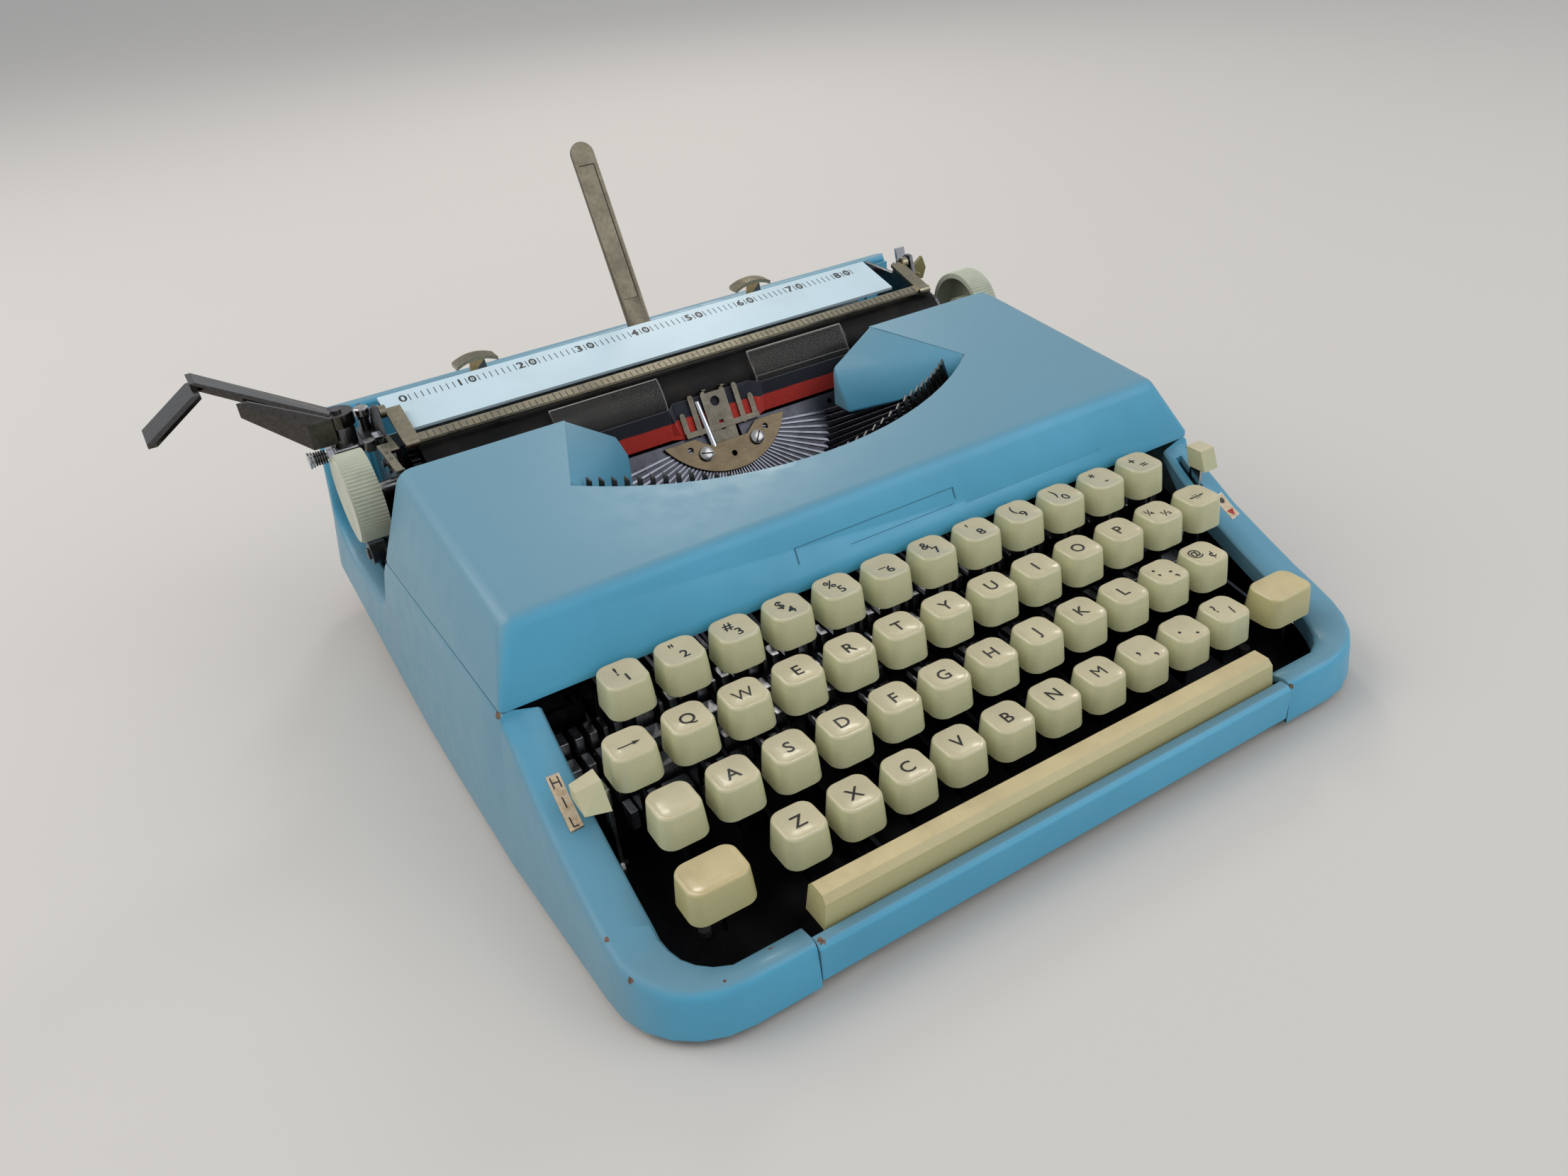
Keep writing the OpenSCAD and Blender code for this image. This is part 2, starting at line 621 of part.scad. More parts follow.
// Ribbon vibrator: the lifting plate between the prongs that hold the ribbon.
module vibrator_plane() {
    translate([0, vib_y, vib_z]) rotate([vib_lean, 0, 0]) children();
}
module ribbon_vibrator() {
    color(STEEL) vibrator_plane() {
        difference() {
            translate([-5.6, -7.4, 0]) cube([11.2, 28.4, 0.9]);
            translate([0, 17, -1]) cylinder(h = 3, r = 2);
            translate([-1, 5, -1]) cube([2, 4, 3]);
        }
        translate([-17, 5.5, 0.8]) cube([34, 2.3, 1.2]);
        for (s = [-1, 1]) {
            translate([s * 10.2 - 1.2, 6, 0]) cube([2.4, 15, 0.9]);
            translate([s * 15.8 - 1.2, 6, 0]) cube([2.4, 9, 0.9]);
        }
    }
}

// Clear card guides that hug the front of the platen, on feet beside the type guide.
guide_in_r = knob_r + 0.5;
guide_t = 0.7;
module card_guides() {
    color([0.8, 0.85, 0.9, 0.5]) both_sides() {
        intersection() {
            translate([21, platen_y, platen_z]) rotate([0, 90, 0]) difference() {
                cylinder(h = 46, r = guide_in_r + guide_t, $fn = 96);
                translate([0, 0, -1]) cylinder(h = 48, r = guide_in_r, $fn = 96);
            }
            translate([20, platen_y - 30, platen_z - 6]) cube([48, 20, 21]);
        }
        translate([58, platen_y - guide_in_r - guide_t - 0.6, 52]) cube([6, 1.2, 17]);
    }
}

// Ribbon spools under the cover, each on its spindle.
spool_x = 113;
spool_y = 150;
spool_r = 19;
ribbon_w = 13;
ribbon_z = 64.6;
module ribbon_spools() {
    color(DARK) both_sides() translate([spool_x, spool_y, ribbon_z - 2]) {
        cylinder(h = 1, r = spool_r);
        translate([0, 0, ribbon_w + 2]) cylinder(h = 1, r = spool_r);
        cylinder(h = ribbon_w + 2, r = spool_r - 6.5);
        translate([0, 0, -14]) cylinder(h = 15, r = 3);
        translate([-8, -8, -16]) cube([24.3, 16, 2]);
    }
}

// The ribbon: a thin band from spool to spool, behind the vibrator and in front of the card guides.
ribbon_y = 215.2;
ribbon_t = 0.7;
vib_lean = 63;
vib_y = 210;
vib_z = 59.4;
function vib_back(z) = vib_y + (z - vib_z) / tan(vib_lean) + 0.35;
module ribbon() {
    z1 = ribbon_z + ribbon_w;
    half = [[spool_x + spool_r - 5, spool_y, spool_y], [108, 196, 196], [96, 208, 208],
        [66, ribbon_y, ribbon_y], [21.5, ribbon_y, ribbon_y], [17.8, vib_back(ribbon_z), vib_back(z1)]];
    run = concat([for (h = half) [-h[0], h[1], h[2]]], [for (i = [len(half) - 1:-1:0]) half[i]]);
    color("#a02020") sweep([for (h = run) [[h[0], h[1], ribbon_z], [h[0], h[2], z1],
        [h[0], h[2] + ribbon_t, z1], [h[0], h[1] + ribbon_t, ribbon_z]]]);
}

// Touch selector: a lever with a moulded tab that stands over the left rim.
module touch_selector() {
    z_tab = 43;
    color(STEEL) along_x(touch_x, touch_x + selector_t) difference() {
        union() {
            translate([touch_y - 2.5, touch_pivot_z]) square([5, z_tab + 5 - touch_pivot_z]);
            translate([touch_y, touch_pivot_z]) circle(r = 4);
        }
        translate([touch_y, touch_pivot_z]) circle(r = rod_r + run_clear);
    }
    color(IVORY) along_x(touch_x - 8, touch_x + 0.1)
        polygon([[touch_y - 6, z_tab], [touch_y + 4, z_tab], [touch_y + 5, z_tab + 8], [touch_y - 1, z_tab + 8]]);
}

// Colour selector: the same kind of lever in its slot in the right rim.
module colour_selector() {
    z_tab = 53.2;
    color(STEEL) along_x(colour_x - 0.6, colour_x - 0.6 + selector_t) difference() {
        union() {
            translate([colour_y - 2.5, colour_pivot_z]) square([5, z_tab + 2 - colour_pivot_z]);
            translate([colour_y, colour_pivot_z]) circle(r = 4);
        }
        translate([colour_y, colour_pivot_z]) circle(r = rod_r + run_clear);
    }
    color(IVORY) along_x(colour_x - 4, colour_x + 4.6)
        polygon([[colour_y - 6, z_tab], [colour_y + 2, z_tab], [colour_y + 4, z_tab + 10],
            [colour_y - 3, z_tab + 10]]);
}

// Carriage: end plates, the rear beam on its rail and the front shoe.
end_left = -125.4;
end_right = 122.6;
end_t = 1.8;
beam_z = rail_h + slide_gap;
shaft_r = 3;
feed_r = 4.2;
feed_y = platen_y + 8;
feed_z = platen_z - sqrt(pow(platen_r + feed_r + 0.2, 2) - 64);
margin_y = 281;
margin_z = 84;
margin_r = 2.5;
bail_pivot_y = 249.6;
bail_pivot_z = 96.4;
release_y = 262;
release_z = 72;
lever_pivot = [-138, 258];
selector_y = platen_y + 6;
selector_z = 80;
carriage_release_y = 252;
strip_x = -131;
strip_y = 208;
strip_z = 89.4;
strip_t = 1.2;
carriage_release_z = 80;
module end_plate(x) {
    along_x(x - end_t / 2, x + end_t / 2) difference() {
        polygon([[platen_y - 13, 59], [feed_y - 5, 59], [feed_y - 5, feed_z - 4], [feed_y + 5, feed_z - 4],
            [feed_y + 5, beam_z + 3], [rail_y, beam_z + 3], [rail_y, beam_z], [274, beam_z], [274, 76],
            [285, 80], [285, 88], [274, 88], [262, 88], [bail_pivot_y + 4, bail_pivot_z + 1],
            [bail_pivot_y + 1.6, bail_pivot_z + 3], [bail_pivot_y - 1.6, bail_pivot_z + 3],
            [bail_pivot_y - 5, 88], [platen_y - 6, 84], [platen_y - 13, 76]]);
        translate([platen_y, platen_z]) circle(r = shaft_r + run_clear);
        translate([feed_y, feed_z]) circle(r = rod_r + run_clear);
    }
}

module carriage_frame() {
    color(DARK) {
        end_plate(end_left);
        end_plate(end_right);
        translate([end_left, rail_y, beam_z]) cube([end_right - end_left, 3, 12]);
        translate([end_left, rail_y, beam_z]) cube([end_right - end_left, rail_w + 3, 2]);
        translate([end_left, front_rail_y - 1, rail_h - 1 + slide_gap]) cube([end_right - end_left, 3.4, 3]);
    }
    color(STEEL) {
        along_x(end_left - end_t / 2, end_left + end_t / 2)
            polygon([[strip_y + 18, 83], [244, 87], [240, strip_z + strip_t], [strip_y + 18, strip_z + strip_t]]);
        translate([strip_x, strip_y + 18, strip_z]) cube([end_left - strip_x, 8, strip_t]);
        translate([strip_x, strip_y, strip_z]) cube([3, 26, strip_t]);
        rod_x(end_left, end_right, margin_y, margin_z, margin_r);
        rod_x(end_left, -122, bail_pivot_y, bail_pivot_z, rod_r);
        rod_x(118.6, end_right, bail_pivot_y, bail_pivot_z, rod_r);
        rod_x(end_right, end_right + 4, release_y, release_z, rod_r);
        rod_x(end_right, end_right + 9.6, carriage_release_y, carriage_release_z, rod_r);
        rod_x(end_left - 4.2, end_left, selector_y, selector_z, rod_r);
        translate([lever_pivot[0] - 7, lever_pivot[1] - 7, 83]) cube([end_left - lever_pivot[0] + 7, 14, 2]);
        translate([lever_pivot[0], lever_pivot[1], 84]) cylinder(h = 15, r = 2);
        translate([lever_pivot[0], lever_pivot[1], 84]) cylinder(h = 8.8, r = 5);
    }
}

arm_x = -2.4;
arm_w = 10.5;

// Paper table: the white scale plate over the platen and its skirt down to the beam.
table_x0 = -121.5;
table_x1 = 105;
table_top = 96.2;
module paper_table() {
    color("#dfe8ec") difference() {
        along_x(table_x0, table_x1)
            polygon([[238.6, 90.2], [261, table_top], [264.4, 92], [266, 84], [267.4, beam_z + 12],
                [266.2, beam_z + 12], [266.2, beam_z + 2.2], [267.6, beam_z + 2.2], [268.6, beam_z + 12],
                [267.2, 84.3], [265.4, 92.6], [261.4, 97.6], [238.3, 91.4]]);
        for (x = [table_x0, table_x1]) translate([x, 264, 80]) rotate([-14, 0, 0])
            difference() {
                translate([-6, -6, 0]) cube([12, 14, 30]);
                translate([x < 0 ? 6 : -6, -6, -1]) cylinder(h = 32, r = 6);
            }
    }
    for (x = [arm_x - arm_w / 2 - 2, arm_x + arm_w / 2 + 0.4]) color(STEEL)
        translate([x, 0, 0]) along_x(0, 1.6) union() {
            translate([267.2, arm_foot_z - 3]) square([5, 6]);
            translate([arm_foot_y + arm_t / 2, arm_foot_z]) circle(r = 3);
        }
    color(STEEL) rod_x(arm_x - arm_w / 2 - 1, arm_x + arm_w / 2 + 1, arm_foot_y + arm_t / 2, arm_foot_z, rod_r);
}

module platen() {
    color(RUBBER) rod_x(-117, platen_len - 117, platen_y, platen_z, platen_r);
    color(STEEL) rod_x(-knob_left + 2.8, knob_right - 2.8, platen_y, platen_z, shaft_r);
}

// Knobs: ribbed rims, open on the inner side, with a hub on the platen shaft.
knob_t = 10.5;
knob_ribs = 72;
module knob(outer, dir) {
    translate([outer, platen_y, platen_z]) rotate([0, dir * 90, 0]) difference() {
        union() {
            linear_extrude(knob_t) polygon([for (i = [0:2 * knob_ribs - 1])
                let (r = knob_r - (i % 2) * 0.5, a = 180 * i / knob_ribs) [r * cos(a), r * sin(a)]]);
            translate([0, 0, -0.8]) cylinder(h = 1.2, r = knob_r - 0.6);
        }
        translate([0, 0, 2]) difference() {
            cylinder(h = knob_t, r = knob_r - 2.4);
            translate([0, 0, -1]) cylinder(h = knob_t + 2, r = 5.4);
        }
        translate([0, 0, 2]) cylinder(h = knob_t, r = shaft_r + 0.02);
    }
}
module platen_knobs() {
    color(IVORY) {
        knob(-knob_left + 0.8, 1);
        knob(knob_right - 0.8, -1);
    }
}

module feed_rollers() {
    color(RUBBER) {
        for (x = [-78, 0, 78]) rod_x(x - 22, x + 22, feed_y, feed_z, feed_r);
        rod_x(end_left - 0.9, end_right + 0.9, feed_y, feed_z, rod_r);
    }
}

// Paper bail: a bar over the platen on two flat arms that hinge on the end plates.
bail_arm_w = 6;
bail_arms = [-122, 112.6];
module paper_bail() {
    color(BRASS) along_x(-119, 115.5)
        polygon([[228.6, 89.2], [229.2, 88.6], [233.4, 90], [233, 91.4], [228.8, 90.2]]);
    color("#9c9884") for (i = [0, 1]) {
        x = bail_arms[i];
        along_x(x, x + bail_arm_w)
            polygon([[228.6, 89.4], [233, 90.6], [bail_pivot_y, bail_pivot_z - 0.6],
                [bail_pivot_y, bail_pivot_z + 0.8], [232, 91.6], [228.6, 90.8]]);
        hub = i == 0 ? x - 2.2 : x + bail_arm_w - 0.4;
        along_x(hub, hub + 2.6) difference() {
            translate([bail_pivot_y, bail_pivot_z]) circle(r = 2.4);
            translate([bail_pivot_y, bail_pivot_z]) circle(r = rod_r + run_clear);
        }
    }
}

// Margin stops: a block on the margin rail, a leaf and a curved thumb piece.
module margin_stop() {
    difference() {
        translate([-6, margin_y - 4, margin_z - 4]) cube([12, 8, 8]);
        rod_x(-7, 7, margin_y, margin_z, margin_r + run_clear);
    }
    translate([-4, margin_y - 3, margin_z + 3.9]) cube([8, 1.4, 10.6]);
    translate([0, margin_y - 3, margin_z + 12.6]) intersection() {
        translate([0, 0, -27]) rotate([-90, 0, 0]) difference() {
            cylinder(h = 7, r = 30, $fn = 96);
            translate([0, 0, -1]) cylinder(h = 9, r = 28.6, $fn = 96);
        }
        translate([-11.5, -1, -3]) cube([23, 9, 12]);
    }
}
stop_left_x = -76;
stop_right_x = 56;
module margin_stop_left() color(STEEL) translate([stop_left_x, 0, 0]) margin_stop();
module margin_stop_right() color(STEEL) translate([stop_right_x, 0, 0]) margin_stop();

// Paper support arm, leaning back from the paper table.
module paper_arm() {
    len_arm = (arm_top - arm_foot_z) / cos(arm_lean);
    color(BRASS) translate([arm_x, arm_foot_y + arm_t / 2, arm_foot_z]) rotate([-arm_lean, 0, 0])
        translate([0, -arm_t / 2, 0]) difference() {
        union() {
            translate([-arm_w / 2, 0, 0]) cube([arm_w, arm_t, len_arm - arm_w / 2]);
            translate([0, 0, len_arm - arm_w / 2]) rotate([-90, 0, 0]) cylinder(h = arm_t, r = arm_w / 2);
            translate([-arm_w / 2, arm_t / 2, 0]) rotate([0, 90, 0]) cylinder(h = arm_w, r = 2.4);
        }
        translate([-arm_w / 2 + 1.8, -0.01, 24]) cube([arm_w - 3.6, 0.5, len_arm - 34]);
        translate([-arm_w, arm_t / 2, 0]) rotate([0, 90, 0]) cylinder(h = 2 * arm_w, r = rod_r + run_clear);
    }
}

// Return lever: a folded plate with a broad finger pad, on an upright pivot.
module return_lever() {
    color(DARK) {
        difference() {
            union() {
                translate([lever_pivot[0], lever_pivot[1], 93]) cylinder(h = 5, r = 6);
                hull() {
                    translate([lever_pivot[0] - 4, lever_pivot[1] - 3, 95]) cube([4, 9, 2]);
                    translate([-182, 270, 116]) cube([2, 12, 2]);
                }
            }
            translate([lever_pivot[0], lever_pivot[1], 90]) cylinder(h = 10, r = 2 + run_clear);
        }
        hull() {
            translate([-183, 262, 114.5]) cube([3, 16, 1.6]);
            translate([-lever_reach, 243, 109]) cube([3, 15, 1.6]);
        }
        hull() {
            translate([lever_pivot[0] - 12, lever_pivot[1] - 6, 88]) cube([9, 1.6, 10]);
            translate([-170, lever_pivot[1] + 1, 105]) cube([4, 1.6, 5]);
        }
    }
}

// Line-space selector: an upright lever with a thumb tab, behind the strip with its settings.
module line_selector() {
    color(STEEL) translate([end_left - 3.2, selector_y, selector_z]) difference() {
        union() {
            rotate([0, 90, 0]) cylinder(h = 1.4, r = 4.4);
            translate([0, -2.2, 0]) cube([1.4, 4.4, 12]);
            translate([-1.6, -3.2, 11]) cube([3.3, 5.4, 1.2]);
        }
        translate([-1, 0, 0]) rotate([0, 90, 0]) cylinder(h = 4, r = rod_r + run_clear);
    }
}

// Paper release: an upright lever outside the right end plate, with a bent tab.
module paper_release() {
    color(STEEL) translate([end_right + 1.3, release_y, release_z]) difference() {
        union() {
            rotate([0, 90, 0]) cylinder(h = 1.4, r = 4);
            translate([0, -2.4, 0]) cube([1.4, 4.8, 20]);
            translate([0, -2.4, 19]) rotate([-12, 0, 0]) cube([4.8, 1.4, 8.4]);
        }
        translate([-1, 0, 0]) rotate([0, 90, 0]) cylinder(h = 4, r = rod_r + run_clear);
    }
}

// Carriage release: a fan-shaped moulded tab behind the right knob.
module carriage_release() {
    color("#8a8450") translate([end_right + 6.6, carriage_release_y, carriage_release_z]) difference() {
        union() {
            rotate([0, 90, 0]) cylinder(h = 2, r = 4);
            translate([0, 0, -1.5]) cube([2, 6, 10]);
            translate([0, 6, 0]) rotate([90, 0, 0]) linear_extrude(2)
                polygon([[-1.5, 6], [-1.5, 9], [6, 14.5], [8.2, 8.5], [6.4, 3.6], [0, 4]]);
        }
        translate([-2, 0, 0]) rotate([0, 90, 0]) cylinder(h = 6, r = rod_r + run_clear);
    }
}

in_frame() lower_shell();
in_frame() front_panel();
in_frame() ribbon_cover();
in_frame() base_plate();
in_frame() rubber_feet();
in_frame() chassis();
in_frame() pivot_rods();
in_frame() segment();
in_frame() typebars();
in_frame() type_guide();
in_frame() card_guides();
in_frame() ribbon_spools();
in_frame() ribbon();
in_frame() ribbon_vibrator();
for (k = LETTERS)
    in_frame() key(k[1], k[2]);
in_frame() figure_keys();
in_frame() backspace_key();
in_frame() margin_release_key();
in_frame() shift_keys();
in_frame() space_bar();
in_frame() touch_selector();
in_frame() colour_selector();
in_frame() carriage_frame();
in_frame() paper_table();
in_frame() platen();
in_frame() platen_knobs();
in_frame() feed_rollers();
in_frame() paper_bail();
in_frame() margin_stop_left();
in_frame() margin_stop_right();
in_frame() paper_arm();
in_frame() return_lever();
in_frame() line_selector();
in_frame() paper_release();
in_frame() carriage_release();
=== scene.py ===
"""Portable typewriter: finishes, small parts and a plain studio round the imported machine."""

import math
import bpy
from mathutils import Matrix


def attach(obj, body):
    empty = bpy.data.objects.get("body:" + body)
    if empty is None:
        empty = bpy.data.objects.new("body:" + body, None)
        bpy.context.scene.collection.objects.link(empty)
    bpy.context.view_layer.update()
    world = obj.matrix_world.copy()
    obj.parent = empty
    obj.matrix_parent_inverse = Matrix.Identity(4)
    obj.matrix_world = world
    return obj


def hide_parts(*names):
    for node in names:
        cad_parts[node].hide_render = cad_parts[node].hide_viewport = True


bl_info = {
    "name": "Portable Typewriter",
    "version": (1, 0, 0),
    "blender": (4, 5, 0),
    "location": "3D View > Sidebar > Typewriter",
    "description": "Builds a portable typewriter's finishes, lettering and fittings on its frame",
    "category": "Object",
}

import bmesh
import bpy
from bpy.props import FloatVectorProperty, PointerProperty
from mathutils import Matrix, Vector
from mathutils.bvhtree import BVHTree

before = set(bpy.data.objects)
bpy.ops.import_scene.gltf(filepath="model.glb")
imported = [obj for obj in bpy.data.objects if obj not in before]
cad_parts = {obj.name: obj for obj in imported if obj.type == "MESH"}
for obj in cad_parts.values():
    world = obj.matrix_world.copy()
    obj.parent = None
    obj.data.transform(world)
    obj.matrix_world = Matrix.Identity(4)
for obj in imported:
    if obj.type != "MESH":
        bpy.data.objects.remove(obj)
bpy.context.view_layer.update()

MM = 0.001
# From the drawing's origin on the front panel to the middle of the footprint, in millimetres.
TO_MIDDLE = Vector((25.799, -157.898, 0.0))
INTO_FRAME = Matrix.Scale(MM, 4) @ Matrix.Translation(TO_MIDDLE)
OUT_OF_FRAME = INTO_FRAME.inverted()
FINISH = {}


def srgb(*display):
    """A linear colour from 0-255 display values."""
    shares = [v / 255.0 for v in display]
    return tuple(v / 12.92 if v <= 0.04045 else ((v + 0.055) / 1.055) ** 2.4 for v in shares)


def scaled(colour, by):
    """A darker or lighter tone of a colour."""
    return tuple(min(1.0, c * by) for c in colour)


# --- finishes

BLACK, WHITE = (0.0,) * 3, (1.0,) * 3
# Places of the colour sockets on a mix node.
MIX_A, MIX_B, MIX_RESULT = 6, 7, 2


class Finish:
    """One material under construction, with the node shorthands the finishes share."""

    def __init__(self, name, base, rough, metal=0.0, coat=0.0, spec=0.5):
        self.mat = bpy.data.materials.new(name)
        self.mat.use_nodes = True
        self.tree = self.mat.node_tree
        self.shader = self.tree.nodes["Principled BSDF"]
        self.coord = self.add("ShaderNodeTexCoord").outputs["Object"]
        self.set("Base Color", tuple(base))
        self.set("Roughness", rough)
        self.set("Metallic", metal)
        self.set("Coat Weight", coat)
        self.set("Specular IOR Level", spec)
        self.mat.diffuse_color = (*base, 1.0)
        FINISH[name] = self.mat

    def add(self, kind):
        return self.tree.nodes.new(kind)

    def set(self, socket, value):
        self.feed(self.shader.inputs[socket], value)

    def feed(self, socket, value):
        """Sets a node's input, or links it when the value is another node's output."""
        if isinstance(value, bpy.types.NodeSocket):
            self.tree.links.new(value, socket)
        else:
            socket.default_value = (*value, 1.0) if isinstance(value, tuple) else value

    def noise(self, size, detail=3.0, rough=0.5, stretch=(1, 1, 1)):
        """Noise whose blotches are about size millimetres across."""
        place = self.add("ShaderNodeMapping")
        place.inputs["Scale"].default_value = [s / (size * MM) for s in stretch]
        self.feed(place.inputs["Vector"], self.coord)
        n = self.add("ShaderNodeTexNoise")
        n.inputs["Scale"].default_value = 1.0
        n.inputs["Detail"].default_value = detail
        n.inputs["Roughness"].default_value = rough
        self.feed(n.inputs["Vector"], place.outputs["Vector"])
        return n.outputs["Fac"]

    def ramp(self, fac, stops):
        r = self.add("ShaderNodeValToRGB")
        while len(r.color_ramp.elements) < len(stops):
            r.color_ramp.elements.new(0.5)
        for e, (pos, col) in zip(r.color_ramp.elements, stops):
            e.position = pos
            e.color = (*col, 1.0)
        self.feed(r.inputs["Fac"], fac)
        return r.outputs["Color"]

    def mix(self, fac, a, b):
        m = self.add("ShaderNodeMix")
        m.data_type = "RGBA"
        self.feed(m.inputs["Factor"], fac)
        self.feed(m.inputs[MIX_A], a)
        self.feed(m.inputs[MIX_B], b)
        return m.outputs[MIX_RESULT]

    def math(self, kind, a, b):
        m = self.add("ShaderNodeMath")
        m.operation = kind
        self.feed(m.inputs[0], a)
        self.feed(m.inputs[1], b)
        return m.outputs[0]

    def axis(self, vector, name):
        s = self.add("ShaderNodeSeparateXYZ")
        self.feed(s.inputs[0], vector)
        return s.outputs[name]

    def facing(self, name, low, high, sign=1.0):
        """Zero to one as a face turns towards an axis."""
        normal = self.add("ShaderNodeNewGeometry").outputs["Normal"]
        m = self.add("ShaderNodeMapRange")
        m.interpolation_type = "SMOOTHSTEP"
        m.inputs["From Min"].default_value = low
        m.inputs["From Max"].default_value = high
        self.feed(m.inputs["Value"], self.math("MULTIPLY", self.axis(normal, name), sign))
        return m.outputs["Result"]

    def drift(self, base, dark, light, size):
        """The base colour, drifting to two other tones over about size millimetres."""
        return self.ramp(self.noise(size, 4.0, 0.6), [(0.32, dark), (0.5, base), (0.68, light)])

    def uneven_gloss(self, low, high, size, detail=5.0):
        spread = self.ramp(self.noise(size, detail, 0.6), [(0.3, (low,) * 3), (0.7, (high,) * 3)])
        self.set("Roughness", spread)

    def bump(self, height, depth, strength):
        """Relief of a depth in millimetres."""
        b = self.add("ShaderNodeBump")
        b.inputs["Strength"].default_value = strength
        b.inputs["Distance"].default_value = depth * MM
        self.feed(b.inputs["Height"], height)
        self.set("Normal", b.outputs["Normal"])

    def spot(self, x, y, z, r):
        """A ball-shaped mask, 1 in the middle and 0 beyond r millimetres."""
        place = self.add("ShaderNodeVectorMath")
        place.operation = "DISTANCE"
        place.inputs[1].default_value = INTO_FRAME @ Vector((x, y, z))
        self.feed(place.inputs[0], self.coord)
        inside = self.math("DIVIDE", place.outputs["Value"], r * MM)
        return self.math("SUBTRACT", 1.0, inside)

    def wobble(self, value, size, detail, rough, by):
        """A value made ragged by noise, up to half of by either way."""
        swing = self.math("SUBTRACT", self.noise(size, detail, rough), 0.5)
        return self.math("ADD", value, self.math("MULTIPLY", swing, by))


# Worn places on the paint: x, y, z and radius.
CHIPS = [
    (-140.8, 97.5, 58.4, 4.0), (-141.1, 31.4, 24.6, 2.2), (-140.5, 18.9, 19.7, 2.2), (-104.0, 8.0, 16.5, 3.4),
    (-92.0, 2.4, 18.4, 3.0), (94.2, 1.2, 17.4, 2.6), (-120.0, 5.0, 18.6, 1.8), (141.0, 30.0, 21.0, 2.4),
    (138.5, 92.0, 57.0, 2.2), (-133.0, 108.0, 82.0, 1.6),
]


def case_paint(base):
    f = Finish("case_paint", base, 0.40, coat=0.08, spec=0.45)
    light = tuple(min(1.0, c * 1.06 + 0.004) for c in base)
    col = f.drift(base, scaled(base, 0.92), light, 60.0)
    grime = f.ramp(f.noise(5.0, 6.0, 0.7), [(0.36, BLACK), (0.60, (0.06,) * 3)])
    col = f.mix(grime, col, scaled(base, 0.75))
    # Painted reflection: every face turned away from the front takes a greyer tone that stands in for the sky's
    # reflection; the front keeps the plain colour.
    painted_sky_tone = f.mix(0.82, col, (base[0] * 1.78, base[1] * 0.70, base[2] * 0.58))
    col = f.mix(f.facing("Y", 0.15, 0.85, -1.0), painted_sky_tone, col)
    mask = f.spot(*CHIPS[0])
    for chip in CHIPS[1:]:
        mask = f.math("MAXIMUM", mask, f.spot(*chip))
    worn = f.ramp(f.wobble(mask, 1.6, 4.0, 0.6, 1.6), [(0.60, BLACK), (0.66, WHITE)])
    rust = f.ramp(f.noise(1.2, 4.0), [(0.35, srgb(70, 44, 30)), (0.65, srgb(128, 96, 72))])
    f.set("Base Color", f.mix(worn, col, rust))
    f.uneven_gloss(0.34, 0.48, 8.0)
    f.bump(f.noise(0.9, 3.0, 0.6), 0.03, 0.5)


def cap_plastic(name, base, rough, coat, dark, patch, side_tint, gloss):
    """Plastic of the key caps; faces turned away from straight up take another tint than the top."""
    f = Finish(name, base, rough, coat=coat)
    top = f.drift(base, scaled(base, dark), scaled(base, 1.05), patch)
    side = tuple(c * t for c, t in zip(base, side_tint))
    f.set("Base Color", f.mix(f.facing("Z", 0.45, 0.9), side, top))
    f.uneven_gloss(*gloss, 4.0)
    f.bump(f.noise(0.6), 0.01, 0.3)


def metal(name, base, rough, grain=(1, 1, 1), grain_size=1.5, depth=0.01, tone=0.18, spread=0.10):
    """A metal with a grain that may run along an axis; tone and spread are its drifts in colour and gloss."""
    f = Finish(name, base, rough, metal=1.0)
    n = f.noise(grain_size, 5.0, 0.65, grain)
    f.set("Base Color", f.ramp(n, [(0.3, scaled(base, 1 - tone)), (0.7, scaled(base, 1 + tone))]))
    f.uneven_gloss(max(0.05, rough - spread), rough + spread, 9.0, 4.0)
    f.bump(n, depth, 0.5)


def metals():
    metal("bright_steel", (0.42, 0.41, 0.40), 0.24)
    metal("chrome", (0.50, 0.50, 0.52), 0.10, tone=0.08, spread=0.05)
    metal("frame_steel", (0.12, 0.12, 0.125), 0.30, grain=(1, 3, 3), grain_size=2.0)
    metal("lever_chrome", (0.085, 0.078, 0.072), 0.20, tone=0.25, spread=0.08)
    metal("lever_steel", (0.045, 0.048, 0.06), 0.34, grain=(0.2, 1, 1))
    metal("worn_steel", (0.34, 0.34, 0.36), 0.36, grain=(3, 1, 0.6), grain_size=1.4, depth=0.03, tone=0.45)
    metal("black_steel", (0.02, 0.02, 0.023), 0.40)
    metal("segment_steel", (0.075, 0.075, 0.09), 0.42, grain=(1, 3, 3), grain_size=1.2, depth=0.02)
    metal("bar_steel", (0.13, 0.13, 0.15), 0.30, grain=(0.3, 2, 2))
    metal("type_steel", (0.10, 0.095, 0.09), 0.30)
    metal("bronze", (0.115, 0.088, 0.055), 0.30, grain=(0.3, 2, 2), grain_size=1.2)
    metal("brass", (0.50, 0.33, 0.16), 0.28)
    metal("nickel", (0.12, 0.105, 0.082), 0.26)
    metal("fin_steel", (0.20, 0.205, 0.235), 0.30, grain=(0.3, 2, 2))
    metal("arm_steel", (0.15, 0.13, 0.095), 0.32)
    metal("khaki_plate", (0.31, 0.275, 0.195), 0.32)
    metal("underside_steel", (0.20, 0.20, 0.21), 0.5)


def plain(name, base, rough, tones=None, gloss=None, relief=None, coat=0.0, spec=0.5):
    """One colour; tones are dark, light and size, gloss is low, high and size, relief is noise, depth, strength."""
    f = Finish(name, base, rough, coat=coat, spec=spec)
    if tones:
        f.set("Base Color", f.drift(base, *tones))
    if gloss:
        f.uneven_gloss(*gloss)
    if relief:
        noise, depth, strength = relief
        f.bump(f.noise(*noise), depth, strength)


